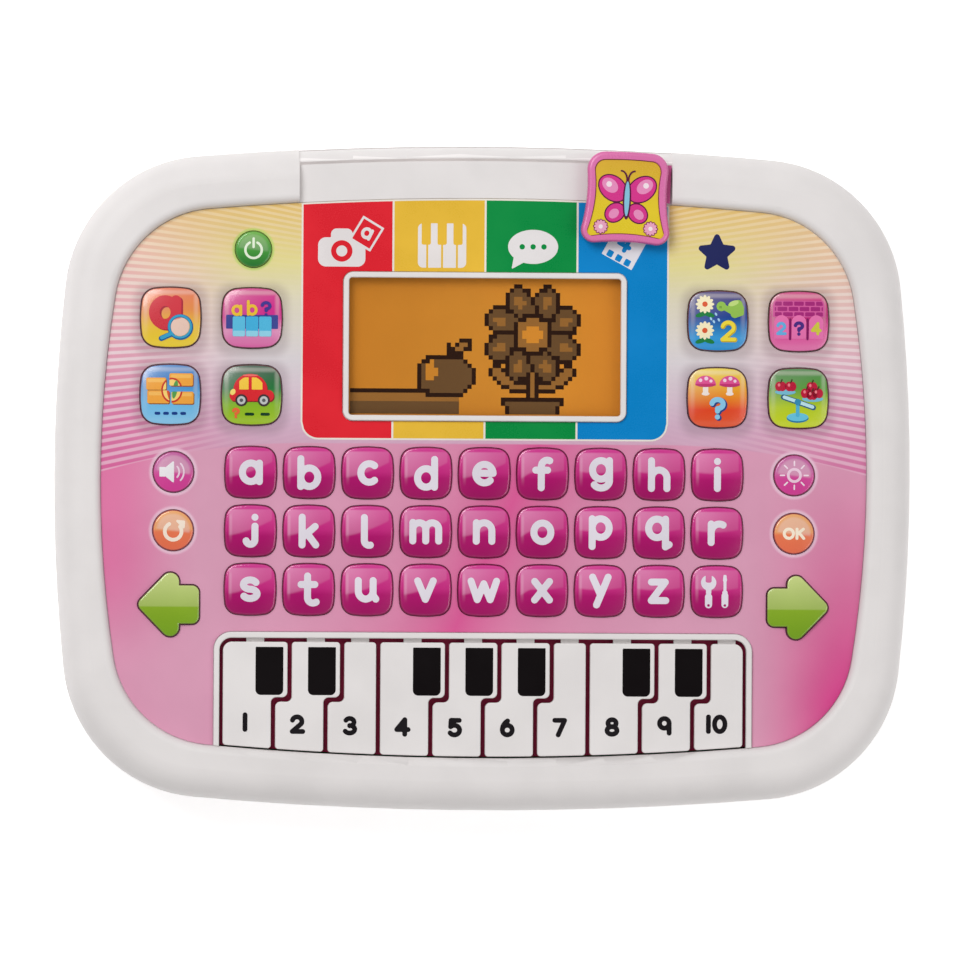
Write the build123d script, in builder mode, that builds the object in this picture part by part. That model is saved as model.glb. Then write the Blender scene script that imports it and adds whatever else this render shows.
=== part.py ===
from build123d import *
from math import asin, degrees
import os

# A child's learning tablet, lying on its back on a table with its keys facing up.
# Origin: on the table under the middle of the casing. +X to the player's right,
# +Y away from the player, +Z up, millimetres.
#
# A rear and a front casing close on each other. The front casing's deck carries a
# printed faceplate, and push keys, piano keys and a slider work through the deck.

# ---- Casing ----
CASING_HALF_WIDTH = 120.5
CASING_HALF_HEIGHT = 93.5
CASING_SIDE_RADIUS = 510.0
CASING_END_RADIUS = 950.0
CASING_CORNER_RADIUS = 40.0
WALL = 2.2
FOOT_HEIGHT = 1.0
SEAM_Z = 13.0
CROWN_Z = 30.0
FRONT_EDGE_RADIUS = 8.2
REAR_EDGE_RADIUS = 8.0
CAVITY_RADIUS = 5.0
REAR_FLOOR_Z = FOOT_HEIGHT + WALL
LAP_DEPTH = 1.2
LAP_CLEARANCE = 0.12
HINGE_CLEARANCE = 0.09

# ---- Deck, the sunk face that carries the faceplate ----
PANEL_HALF_WIDTH = 107.8
PANEL_HALF_HEIGHT = 78.7
PANEL_SIDE_RADIUS = 330.0
PANEL_END_RADIUS = 880.0
PANEL_CORNER_RADIUS = 29.0
DECK_TOP_Z = 27.2
DECK_THICKNESS = 2.0
DECK_UNDER_Z = DECK_TOP_Z - DECK_THICKNESS
FACEPLATE_THICKNESS = 0.4
FACEPLATE_TOP_Z = DECK_TOP_Z + FACEPLATE_THICKNESS
FACEPLATE_GAP = 0.15
BEZEL_INNER_RADIUS = 2.4
RIM_TOP_Z = 28.6
RIM_FILLET = 0.4

# ---- Screen ----
SCREEN_Y = 36.9
SCREEN_FRAME = (79.7, 41.8)
SCREEN_FRAME_RADIUS = 2.8
SCREEN_OPENING = (76.5, 38.6)
SCREEN_OPENING_RADIUS = 0.9
WINDOW_SIZE = (81.8, 43.8)
WINDOW_THICKNESS = 1.2
WINDOW_CLEARANCE = 0.2
LCD_SIZE = (80.0, 42.0)
LCD_BOTTOM_Z = 22.3
LCD_TOP_Z = 24.9

# ---- Push keys ----
KEY_CLEARANCE = 0.18
KEY_FLANGE_REACH = 0.5
KEY_FLANGE_TOP_Z = DECK_UNDER_Z - 0.3
KEY_FLANGE_THICKNESS = 0.9
KEY_PLUNGER_RADIUS = 2.0
KEY_PLUNGER_BOTTOM_Z = 23.6
KEY_RIM_FILLET = 0.7
LETTER_PITCH = 16.4
LETTER_TOP_ROW_Y = 1.3
LETTER_ROWS = ["abcdefghi", "jklmnopqr", "stuvwxyz"]
LETTER_HALF_SIZE = 7.32
LETTER_TOP_Z = 29.1
ACTIVITY_HALF_SIZE = 8.54
ACTIVITY_TOP_Z = 29.4
ACTIVITY_X = (65.5, 88.3)
ACTIVITY_Y = (44.6, 23.0)
ROUND_X = 87.3
ROUND_RADIUS = 5.75
POWER_RADIUS = 5.1
POWER_XY = (-65.2, 63.9)
ROUND_TOP_Z = 28.9
ARROW_XY = (88.5, -35.9)
ARROW_TOP_Z = 29.1

# ---- Piano ----
PIANO_KEYS = 10
PIANO_PITCH = 14.74
PIANO_SHARPS = (0, 1, 3, 4, 5, 7, 8)
PIANO_SHARP_SHIFT = 4.6
PIANO_KEY_GAP = 1.25
PIANO_JOG_Y = -61.8
PIANO_JOG_RADIUS = 1.5
PIANO_BACK_Y = -46.25
PIANO_FRAME_HALF_WIDTH = 75.7
PIANO_FRAME_BACK_Y = -43.45
PIANO_OPENING_HALF_WIDTH = 74.1
PIANO_OPENING_BACK_Y = -45.15
PIANO_OPENING_RADIUS = 3.4
PIANO_FRONT_GAP = 0.5
PIANO_TOP_Z = 28.4
PIANO_UNDER_Z = 25.9
PIANO_CORNER_RADIUS = 0.9
PIANO_HINGE_Y = -42.65
PIANO_HINGE_Z = 25.8
PIANO_BARREL_RADIUS = 0.8
PIANO_TAB_WIDTH = 5.0
PIANO_TAB_CLEARANCE = 0.3
PIANO_PLUNGER_Y = -66.5
PIANO_PLUNGER_BOTTOM_Z = 23.9
PIANO_MAT_BOTTOM_Z = 23.2
PIANO_MAT_TOP_Z = 23.8

# ---- Slider: it runs on an arc about the centre of the casing's back edge ----
ARC_CENTRE_Y = CASING_HALF_HEIGHT - CASING_END_RADIUS
TRACK_HALF_LENGTH = 52.4
TRACK_FLOOR_Z = DECK_TOP_Z + FACEPLATE_THICKNESS
TRACK_LIP_INSET = 3.6
LIP_RECESS = 0.45
GROOVE_NECK = (0.8, 26.7)
GROOVE_CHAMBER = (2.0, 25.9)
GROOVE_ARC_RADIUS = CASING_END_RADIUS - TRACK_LIP_INSET - GROOVE_NECK[0] / 2
SLIDER_ARC_RADIUS = 935.6
SLIDER_PITCH = 26.3
SLIDER_POSITIONS = 4
SLIDER_X = SLIDER_PITCH * (SLIDER_POSITIONS - 1) / 2
RUNNER_REACH = (10.8, 12.3)
RUNNER_ARC_RADII = (935.4, 946.1)
RUNNER_BOTTOM_Z = 27.9
STEM_SIZE = (20.0, 0.5)
FOOT_SIZE = (20.0, 1.5, 0.45)
FOOT_BOTTOM_Z = 26.1
MAGNET_RADIUS = 2.5
MAGNET_THICKNESS = 1.1
MAGNET_ARC_RADIUS = 940.0
BADGE_BOTTOM_Z = 29.1
BADGE_TOP_Z = 32.4
BADGE_INSET_DEPTH = 0.5
BADGE_BORDER = 2.1

# ---- Electronics ----
BOARD_HALF_WIDTH = 98.0
BOARD_FRONT_Y = -79.0
BOARD_BACK_Y = 76.0
BOARD_TONGUE_HALF_WIDTH = 50.0
BOARD_TONGUE_BACK_Y = 86.0
BOARD_CORNER_RADIUS = 22.0
BOARD_BOTTOM_Z = 19.8
BOARD_TOP_Z = 21.4
SWITCH_RADIUS = 3.4
SWITCH_HEIGHT = 1.3
SPEAKER_XY = (-62.0, -34.0)
SPEAKER_RADIUS = 18.0

# ---- Battery bay ----
CELL_RADIUS = 7.25
CELL_LENGTH = 50.5
BAY_Y = 25.0
BAY_SIZE = (61.0, 31.6)
BAY_WALL = 1.6
BAY_CEILING_Z = 18.4
DOOR_HALF_WIDTH = 33.4
DOOR_FRONT_Y = 0.8
DOOR_THICKNESS = 1.8
DOOR_HINGE_Y = 44.2
DOOR_CLEARANCE = 0.3
DOOR_PIN_RADIUS = 0.6
DOOR_PIN_LENGTH = 1.4
DOOR_SCREW_Y = 4.8
DOOR_HINGE_Z = FOOT_HEIGHT + DOOR_THICKNESS / 2

# ---- Fasteners ----
SCREW_SPOTS = [(-105, 40), (105, 40), (-105, -45), (105, -45), (-66, 83.5), (66, 83.5), (0, -84.0)]
SCREW_HEAD_RADIUS = 2.7
SCREW_HEAD_HEIGHT = 1.8
SCREW_SHANK_RADIUS = 1.3
SCREW_LENGTH = 12.0
SCREW_SEAT_Z = 9.0
BOSS_RADIUS = 4.3
BOSS_POST_RADIUS = 3.2

os.makedirs("parts", exist_ok=True)


def save(piece, label):
    """Labels a finished piece and writes it as its own STEP file."""
    piece.label = label
    export_step(piece, f"parts/{label}.step")


# ---- Outlines ----


def pillow(shape, grow=0.0):
    """An outline with bulging sides: the overlap of four large discs, its corners rounded."""
    half_width, half_height, side_radius, end_radius, corner_radius = shape
    across, along = half_width - side_radius, half_height - end_radius
    with BuildSketch() as outline:
        with Locations((across, 0)):
            Circle(side_radius + grow)
        with Locations((-across, 0)):
            Circle(side_radius + grow, mode=Mode.INTERSECT)
        for y in (along, -along):
            with Locations((0, y)):
                Circle(end_radius + grow, mode=Mode.INTERSECT)
        fillet(outline.vertices(), corner_radius + grow)
    return outline.sketch


def disc(radius, grow=0.0):
    """A round outline."""
    with BuildSketch() as outline:
        Circle(radius + grow)
    return outline.sketch


def arrow(direction, grow=0.0):
    """A fat arrow that points along X, towards -X for a direction of -1, its corners rounded."""
    tip, neck_x, tail_x = 9.5 * direction, -3.2 * direction, -8.8 * direction
    barb_y, shaft_y = 13.1, 5.6
    with BuildSketch() as outline:
        with BuildLine():
            Polyline(
                (tip, 0), (neck_x, barb_y), (neck_x, shaft_y), (tail_x, shaft_y),
                (tail_x, -shaft_y), (neck_x, -shaft_y), (neck_x, -barb_y), close=True,
            )
        make_face()
        corners = outline.vertices()
        inner = corners.filter_by(lambda v: abs(abs(v.X) - 3.2) < 0.1 and abs(v.Y) < 6)
        fillet(corners.filter_by(lambda v: abs(v.Y) > barb_y - 0.1), 2.7)
        fillet(outline.vertices().filter_by(lambda v: abs(v.X) > 8), 2.2)
        fillet(inner, 0.7)
        if grow:
            offset(amount=grow)
    return outline.sketch


def arc_strip(radius, width, length):
    """A strip along an arc about the slider's centre, centred on X = 0."""
    with BuildSketch() as strip:
        with Locations((0, ARC_CENTRE_Y)):
            Circle(radius + width / 2)
            Circle(radius - width / 2, mode=Mode.SUBTRACT)
        with Locations((0, ARC_CENTRE_Y + radius)):
            Rectangle(length, 20, mode=Mode.INTERSECT)
    return strip.sketch


def badge_outline(inset=0.0):
    """The slider's badge: slightly hollow sides and foot, full corners."""
    top_x, waist_x, foot_x = 12.1 - inset, 11.4 - inset, 13.8 - inset
    top_y, crest_y = 13.1 - inset, 13.6 - inset
    foot_y, arch_y = inset - 13.1, inset - 11.7
    with BuildSketch() as badge:
        with BuildLine():
            ThreePointArc((-top_x, top_y), (0, crest_y), (top_x, top_y))
            ThreePointArc((top_x, top_y), (waist_x, -2.0), (foot_x, foot_y))
            ThreePointArc((foot_x, foot_y), (0, arch_y), (-foot_x, foot_y))
            ThreePointArc((-foot_x, foot_y), (-waist_x, -2.0), (-top_x, top_y))
        make_face()
        fillet(badge.vertices().group_by(Axis.Y)[-1], 5.0 - inset)
        fillet(badge.vertices().group_by(Axis.Y)[0], 3.6 - inset)
    return badge.sketch


CASING = (
    CASING_HALF_WIDTH, CASING_HALF_HEIGHT, CASING_SIDE_RADIUS, CASING_END_RADIUS, CASING_CORNER_RADIUS
)
PANEL = (
    PANEL_HALF_WIDTH, PANEL_HALF_HEIGHT, PANEL_SIDE_RADIUS, PANEL_END_RADIUS, PANEL_CORNER_RADIUS
)
LETTER_SHAPE = (LETTER_HALF_SIZE, LETTER_HALF_SIZE, 30, 30, 3.6)
ACTIVITY_SHAPE = (ACTIVITY_HALF_SIZE, ACTIVITY_HALF_SIZE, 34, 34, 4.4)

# The kinds of push key: outline function, its argument, height of the top and radius of the dome.
KINDS = {
    "letter": (pillow, LETTER_SHAPE, LETTER_TOP_Z, 45),
    "activity": (pillow, ACTIVITY_SHAPE, ACTIVITY_TOP_Z, 45),
    "round": (disc, ROUND_RADIUS, ROUND_TOP_Z, 30),
    "power": (disc, POWER_RADIUS, ROUND_TOP_Z, 30),
    "left": (arrow, -1, ARROW_TOP_Z, 58),
    "right": (arrow, 1, ARROW_TOP_Z, 58),
}

# Every push key: its name, kind and place.
push_keys = []
for row, letters in enumerate(LETTER_ROWS):
    for column, letter in enumerate([*letters, "settings"][:9]):
        place = ((column - 4) * LETTER_PITCH, LETTER_TOP_ROW_Y - row * LETTER_PITCH)
        push_keys.append((f"key_{letter}", "letter", place))
activities = [
    "find_letter", "next_letter", "count_to_ten", "next_number",
    "picture_puzzle", "spelling", "memory", "compare",
]
activity_xs = (-ACTIVITY_X[1], -ACTIVITY_X[0], ACTIVITY_X[0], ACTIVITY_X[1])
activity_places = [(x, y) for y in ACTIVITY_Y for x in activity_xs]
for activity, place in zip(activities, activity_places):
    push_keys.append((f"button_{activity}", "activity", place))
round_places = {
    "volume": (-ROUND_X, LETTER_TOP_ROW_Y),
    "repeat": (-ROUND_X, LETTER_TOP_ROW_Y - LETTER_PITCH),
    "backlight": (ROUND_X, LETTER_TOP_ROW_Y),
    "ok": (ROUND_X, LETTER_TOP_ROW_Y - LETTER_PITCH),
}
for name, place in round_places.items():
    push_keys.append((f"button_{name}", "round", place))
push_keys.append(("button_power", "power", POWER_XY))
push_keys.append(("button_arrow_left", "left", (-ARROW_XY[0], ARROW_XY[1])))
push_keys.append(("button_arrow_right", "right", ARROW_XY))

# Piano keys from left to right: the foot edges and the narrower back edges in X.
piano_start = -PIANO_PITCH * PIANO_KEYS / 2
piano_foot_edges = [piano_start + i * PIANO_PITCH for i in range(PIANO_KEYS + 1)]
piano_back_edges = [
    x + (PIANO_SHARP_SHIFT if i - 1 in PIANO_SHARPS else 0) for i, x in enumerate(piano_foot_edges)
]


def key_holes(clearance):
    """The holes for every push key, as one sketch."""
    with BuildSketch() as holes:
        for _, kind, place in push_keys:
            outline, argument = KINDS[kind][:2]
            with Locations(place):
                add(outline(argument, clearance))
    return holes.sketch


def piano_window(half_width, back_y, radius, grow=0.0):
    """The space of the piano keys: square to the sides and back, and curved along the front."""
    with BuildSketch() as window:
        with Locations((0, back_y + grow)):
            Rectangle(2 * (half_width + grow), 60, align=(Align.CENTER, Align.MAX))
        fillet(window.vertices().group_by(Axis.Y)[-1], radius + grow)
        with Locations((0, PANEL_END_RADIUS - PANEL_HALF_HEIGHT)):
            Circle(PANEL_END_RADIUS + min(grow, 0), mode=Mode.INTERSECT)
    return window.sketch


PIANO_FRAME = (PIANO_FRAME_HALF_WIDTH, PIANO_FRAME_BACK_Y, PIANO_OPENING_RADIUS + 1.6)
PIANO_OPENING = (PIANO_OPENING_HALF_WIDTH, PIANO_OPENING_BACK_Y, PIANO_OPENING_RADIUS)
tab_places = [(a + b) / 2 for a, b in zip(piano_back_edges, piano_back_edges[1:])]

# ---- Front casing ----

with BuildPart() as front_cavity:
    with BuildSketch(Plane.XY.offset(SEAM_Z - 1)):
        add(pillow(CASING, -WALL))
    extrude(amount=DECK_UNDER_Z - SEAM_Z + 1)
    fillet(front_cavity.faces().sort_by(Axis.Z)[-1].edges(), CAVITY_RADIUS)

with BuildPart() as rims:
    with BuildSketch(Plane.XY.offset(DECK_TOP_Z - 0.01)):
        with Locations((0, SCREEN_Y)):
            RectangleRounded(*SCREEN_FRAME, SCREEN_FRAME_RADIUS)
            RectangleRounded(*SCREEN_OPENING, SCREEN_OPENING_RADIUS, mode=Mode.SUBTRACT)
        add(piano_window(*PIANO_FRAME))
        add(piano_window(*PIANO_OPENING), mode=Mode.SUBTRACT)
    extrude(amount=RIM_TOP_Z - DECK_TOP_Z + 0.01)
    fillet(rims.faces().filter_by(Axis.Z).group_by(Axis.Z)[-1].edges(), RIM_FILLET)

with BuildPart() as lip_recess:
    with BuildSketch(Plane.XY.offset(SEAM_Z + 3)):
        with Locations((0, PANEL_HALF_HEIGHT + 4)):
            Rectangle(2 * TRACK_HALF_LENGTH, 30, align=(Align.CENTER, Align.MIN))
    extrude(amount=CROWN_Z)
    with BuildPart(mode=Mode.SUBTRACT) as kept:
        with BuildSketch(Plane.XY.offset(SEAM_Z)):
            add(pillow(CASING, -LIP_RECESS))
        extrude(amount=CROWN_Z - LIP_RECESS - SEAM_Z)
        fillet(kept.faces().sort_by(Axis.Z)[-1].edges(), FRONT_EDGE_RADIUS - LIP_RECESS)

with BuildPart() as front_casing:
    with BuildSketch(Plane.XY.offset(SEAM_Z)):
        add(pillow(CASING))
    extrude(amount=CROWN_Z - SEAM_Z)
    fillet(front_casing.faces().sort_by(Axis.Z)[-1].edges(), FRONT_EDGE_RADIUS)
    # The sunk deck, with the inner edge of the bezel eased.
    with BuildSketch(Plane.XY.offset(DECK_TOP_Z)):
        add(pillow(PANEL))
    extrude(amount=CROWN_Z, mode=Mode.SUBTRACT)
    fillet(front_casing.faces().sort_by(Axis.Z)[-1].inner_wires()[0].edges(), BEZEL_INNER_RADIUS)
    # The slider's track: a floor behind the deck, up to a low lip along the back edge.
    with BuildSketch(Plane.XY.offset(TRACK_FLOOR_Z)):
        with Locations((0, PANEL_HALF_HEIGHT - 6)):
            Rectangle(2 * TRACK_HALF_LENGTH, 30, align=(Align.CENTER, Align.MIN))
        with Locations((0, ARC_CENTRE_Y)):
            Circle(CASING_END_RADIUS - TRACK_LIP_INSET, mode=Mode.INTERSECT)
        add(pillow(PANEL), mode=Mode.SUBTRACT)
    extrude(amount=CROWN_Z, mode=Mode.SUBTRACT)
    # Its lip stands a little lower than the bezel beside it.
    add(lip_recess.part, mode=Mode.SUBTRACT)
    # The raised frames round the screen and the piano.
    add(rims.part)
    add(front_cavity.part, mode=Mode.SUBTRACT)
    # Posts for the screws, down to the seam.
    with BuildSketch(Plane.XY.offset(SEAM_Z + 0.2)):
        with Locations(*SCREW_SPOTS):
            Circle(BOSS_POST_RADIUS)
    extrude(amount=DECK_UNDER_Z - SEAM_Z - 0.1)
    with BuildSketch(Plane.XY.offset(SEAM_Z)):
        with Locations(*SCREW_SPOTS):
            Circle(SCREW_SHANK_RADIUS + 0.05)
    extrude(amount=SCREW_LENGTH - 2, mode=Mode.SUBTRACT)
    # Openings: screen, piano and push keys.
    with BuildSketch(Plane.XY.offset(DECK_UNDER_Z - 1)):
        with Locations((0, SCREEN_Y)):
            RectangleRounded(*SCREEN_OPENING, SCREEN_OPENING_RADIUS)
        add(piano_window(*PIANO_OPENING))
        add(key_holes(KEY_CLEARANCE))
    extrude(amount=CROWN_Z, mode=Mode.SUBTRACT)
    with BuildSketch(Plane.XY.offset(DECK_UNDER_Z - 1)):
        with Locations((0, SCREEN_Y)):
            RectangleRounded(
                WINDOW_SIZE[0] + 2 * WINDOW_CLEARANCE, WINDOW_SIZE[1] + 2 * WINDOW_CLEARANCE, 1.2
            )
    extrude(amount=1 + WINDOW_THICKNESS, mode=Mode.SUBTRACT)
    # Hinge groove and tab channels behind the piano keys.
    with BuildSketch(Plane.YZ):
        with Locations((PIANO_HINGE_Y, PIANO_HINGE_Z)):
            Circle(PIANO_BARREL_RADIUS + HINGE_CLEARANCE)
        with Locations((PIANO_HINGE_Y, DECK_UNDER_Z)):
            Rectangle(
                2 * (PIANO_BARREL_RADIUS + HINGE_CLEARANCE), 2 * (PIANO_HINGE_Z - DECK_UNDER_Z)
            )
    extrude(amount=PIANO_OPENING_HALF_WIDTH, both=True, mode=Mode.SUBTRACT)
    with BuildSketch(Plane.XY.offset(DECK_UNDER_Z - 1)):
        with Locations(*[(x, PIANO_HINGE_Y) for x in tab_places]):
            Rectangle(PIANO_TAB_WIDTH + 2 * PIANO_TAB_CLEARANCE, PIANO_HINGE_Y - PIANO_BACK_Y,
                      align=(Align.CENTER, Align.MAX))
    extrude(amount=1 + 1.65, mode=Mode.SUBTRACT)
    # The groove at the foot of the lip, wider below, which holds the slider's foot.
    for (width, bottom_z), top_z in ((GROOVE_NECK, TRACK_FLOOR_Z), (GROOVE_CHAMBER, GROOVE_NECK[1])):
        with BuildSketch(Plane.XY.offset(bottom_z)):
            add(arc_strip(GROOVE_ARC_RADIUS, width, 2 * TRACK_HALF_LENGTH))
        extrude(amount=top_z - bottom_z, mode=Mode.SUBTRACT)
    # The lap that centres the front casing in the rear one.
    with BuildSketch(Plane.XY.offset(SEAM_Z - LAP_DEPTH)):
        add(pillow(CASING, -WALL / 2))
        add(pillow(CASING, -WALL), mode=Mode.SUBTRACT)
    extrude(amount=LAP_DEPTH + 0.5)
save(front_casing.part, "front_casing")

# ---- Faceplate ----

with BuildPart() as faceplate:
    with BuildSketch(Plane.XY.offset(DECK_TOP_Z)):
        add(pillow(PANEL, -FACEPLATE_GAP))
        with Locations((0, SCREEN_Y)):
            RectangleRounded(
                SCREEN_FRAME[0] + 2 * FACEPLATE_GAP, SCREEN_FRAME[1] + 2 * FACEPLATE_GAP,
                SCREEN_FRAME_RADIUS + FACEPLATE_GAP, mode=Mode.SUBTRACT,
            )
        add(piano_window(*PIANO_FRAME, FACEPLATE_GAP), mode=Mode.SUBTRACT)
        add(key_holes(KEY_CLEARANCE), mode=Mode.SUBTRACT)
    extrude(amount=FACEPLATE_THICKNESS)
save(faceplate.part, "faceplate")

# ---- Screen window ----

with BuildPart() as screen_window:
    with BuildSketch(Plane.XY.offset(DECK_UNDER_Z)):
        with Locations((0, SCREEN_Y)):
            RectangleRounded(*WINDOW_SIZE, 1.0)
    extrude(amount=WINDOW_THICKNESS - 0.02)
save(screen_window.part, "screen_window")

# ---- Push keys ----


def push_key(outline, argument, top_z, dome_radius):
    """A domed cap, a flange that keeps it under the deck, and a plunger over its switch."""
    with BuildPart() as key:
        with BuildSketch(Plane.XY.offset(KEY_FLANGE_TOP_Z - KEY_FLANGE_THICKNESS)):
            add(outline(argument, KEY_FLANGE_REACH))
        extrude(amount=KEY_FLANGE_THICKNESS)
        with BuildSketch(Plane.XY.offset(KEY_FLANGE_TOP_Z)):
            add(outline(argument))
        extrude(amount=top_z - KEY_FLANGE_TOP_Z)
        with Locations((0, 0, top_z - dome_radius)):
            Sphere(dome_radius, mode=Mode.INTERSECT)
        fillet(key.faces().sort_by(Axis.Z)[-1].edges(), KEY_RIM_FILLET)
        with BuildSketch(Plane.XY.offset(KEY_PLUNGER_BOTTOM_Z)):
            Circle(KEY_PLUNGER_RADIUS)
        extrude(amount=KEY_FLANGE_TOP_Z - KEY_FLANGE_THICKNESS - KEY_PLUNGER_BOTTOM_Z)
    return key.part


masters = {kind: push_key(*sizes) for kind, sizes in KINDS.items()}
for name, kind, place in push_keys:
    save(masters[kind].moved(Location((*place, 0))), name)

# ---- Piano keys ----


def by_frame_corner(vertex):
    """True at the outer back corner of an end key, which follows the frame's corner."""
    return abs(vertex.X) > PIANO_OPENING_HALF_WIDTH - 2 and vertex.Y > PIANO_BACK_Y - 0.1


def by_jog(vertex):
    """True at the step where a key gives way to its neighbour's back."""
    return min(abs(vertex.Y - PIANO_JOG_Y), abs(vertex.Y - PIANO_JOG_Y + PIANO_KEY_GAP)) < 0.01


def piano_key(index):
    """A natural key whose back is cut away for its neighbour's sharp, on a round hinge barrel."""
    half_gap = PIANO_KEY_GAP / 2
    foot_left, foot_right = (x for x in piano_foot_edges[index : index + 2])
    back_left, back_right = (x for x in piano_back_edges[index : index + 2])
    outline = [
        (back_left + half_gap, PIANO_BACK_Y), (back_right - half_gap, PIANO_BACK_Y),
        (back_right - half_gap, PIANO_JOG_Y), (foot_right - half_gap, PIANO_JOG_Y),
        (foot_right - half_gap, -90), (foot_left + half_gap, -90),
        (foot_left + half_gap, PIANO_JOG_Y - PIANO_KEY_GAP),
        (back_left + half_gap, PIANO_JOG_Y - PIANO_KEY_GAP),
    ]
    corners = [p for i, p in enumerate(outline) if p != outline[i - 1]]
    straight_left, straight_right = back_left == foot_left, back_right == foot_right
    if straight_right:
        corners = [p for p in corners if p != (back_right - half_gap, PIANO_JOG_Y)]
    if straight_left:
        corners = [p for p in corners if p != (back_left + half_gap, PIANO_JOG_Y - PIANO_KEY_GAP)]
    tab_x = (back_left + back_right) / 2
    with BuildPart() as key:
        with BuildSketch(Plane.XY.offset(PIANO_UNDER_Z)) as top:
            with BuildLine():
                Polyline(*corners, close=True)
            make_face()
            with Locations((0, PANEL_END_RADIUS - PANEL_HALF_HEIGHT)):
                Circle(PANEL_END_RADIUS - PIANO_FRONT_GAP, mode=Mode.INTERSECT)
            fillet(
                top.vertices().filter_by(lambda v: not by_frame_corner(v) and not by_jog(v)), PIANO_CORNER_RADIUS
            )
            if not (straight_left and straight_right):
                fillet(top.vertices().filter_by(by_jog), PIANO_JOG_RADIUS)
            end_corners = top.vertices().filter_by(by_frame_corner)
            if end_corners:
                fillet(end_corners, PIANO_OPENING_RADIUS - 0.9)
        extrude(amount=PIANO_TOP_Z - PIANO_UNDER_Z)
        fillet(key.faces().sort_by(Axis.Z)[-1].edges(), 0.35)
        with BuildSketch(Plane.YZ.offset(tab_x)):
            with Locations((PIANO_HINGE_Y, PIANO_HINGE_Z)):
                Circle(PIANO_BARREL_RADIUS)
            with Locations((PIANO_HINGE_Y, PIANO_UNDER_Z - 0.5)):
                Rectangle(PIANO_HINGE_Y - PIANO_BACK_Y + 1, 1.3, align=(Align.MAX, Align.MIN))
        extrude(amount=PIANO_TAB_WIDTH / 2, both=True)
        with BuildSketch(Plane.XY.offset(PIANO_PLUNGER_BOTTOM_Z)):
            with Locations(((foot_left + foot_right) / 2, PIANO_PLUNGER_Y)):
                Circle(KEY_PLUNGER_RADIUS)
        extrude(amount=PIANO_UNDER_Z - PIANO_PLUNGER_BOTTOM_Z + 0.5)
    return key.part


for index in range(PIANO_KEYS):
    save(piano_key(index), f"piano_key_{index + 1:02d}")

# ---- Slider: badge, runner, the foot that holds it and the magnet that is sensed ----

slider_middle_y = ARC_CENTRE_Y + SLIDER_ARC_RADIUS
with BuildPart() as badge:
    with BuildSketch(Plane.XY.offset(BADGE_BOTTOM_Z)):
        with Locations((0, slider_middle_y)):
            add(badge_outline())
    extrude(amount=BADGE_TOP_Z - BADGE_BOTTOM_Z)
    fillet(badge.faces().sort_by(Axis.Z)[-1].edges(), 1.1)
    with BuildSketch(Plane.XY.offset(BADGE_TOP_Z - BADGE_INSET_DEPTH)):
        with Locations((0, slider_middle_y)):
            add(badge_outline(BADGE_BORDER))
    extrude(amount=BADGE_INSET_DEPTH, mode=Mode.SUBTRACT)
    # The runner fills the track between the lip and the faceplate.
    with BuildSketch(Plane.XY.offset(RUNNER_BOTTOM_Z)):
        add(arc_strip(sum(RUNNER_ARC_RADII) / 2, RUNNER_ARC_RADII[1] - RUNNER_ARC_RADII[0],
                      2 * RUNNER_REACH[1]))
        with Locations((-RUNNER_REACH[0], slider_middle_y)):
            Rectangle(10, 40, align=(Align.MAX, Align.CENTER), mode=Mode.SUBTRACT)
    extrude(amount=BADGE_BOTTOM_Z - RUNNER_BOTTOM_Z)
    with Locations((0, ARC_CENTRE_Y + MAGNET_ARC_RADIUS, RUNNER_BOTTOM_Z)):
        Cylinder(MAGNET_RADIUS + 0.05, MAGNET_THICKNESS, align=(Align.CENTER, Align.CENTER, Align.MIN),
                 mode=Mode.SUBTRACT)
    with BuildSketch(Plane.XY.offset(FOOT_BOTTOM_Z)):
        add(arc_strip(GROOVE_ARC_RADIUS, STEM_SIZE[1], STEM_SIZE[0]))
    extrude(amount=BADGE_BOTTOM_Z + 0.5 - FOOT_BOTTOM_Z)
    with BuildSketch(Plane.XY.offset(FOOT_BOTTOM_Z)):
        add(arc_strip(GROOVE_ARC_RADIUS, FOOT_SIZE[1], FOOT_SIZE[0]))
    extrude(amount=FOOT_SIZE[2])

with BuildPart() as magnet:
    with Locations((0, ARC_CENTRE_Y + MAGNET_ARC_RADIUS, RUNNER_BOTTOM_Z)):
        Cylinder(MAGNET_RADIUS, MAGNET_THICKNESS, align=(Align.CENTER, Align.CENTER, Align.MIN))

slider = Compound([badge.part, magnet.part])
slider_angle = degrees(asin(SLIDER_X / SLIDER_ARC_RADIUS))
save(slider.rotate(Axis((0, ARC_CENTRE_Y, 0), (0, 0, 1)), -slider_angle), "app_slider")

# ---- Rear casing ----

with BuildPart() as rear_cavity:
    with BuildSketch(Plane.XY.offset(REAR_FLOOR_Z)):
        add(pillow(CASING, -WALL))
    extrude(amount=SEAM_Z)
    fillet(rear_cavity.faces().sort_by(Axis.Z)[0].edges(), CAVITY_RADIUS)

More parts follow.
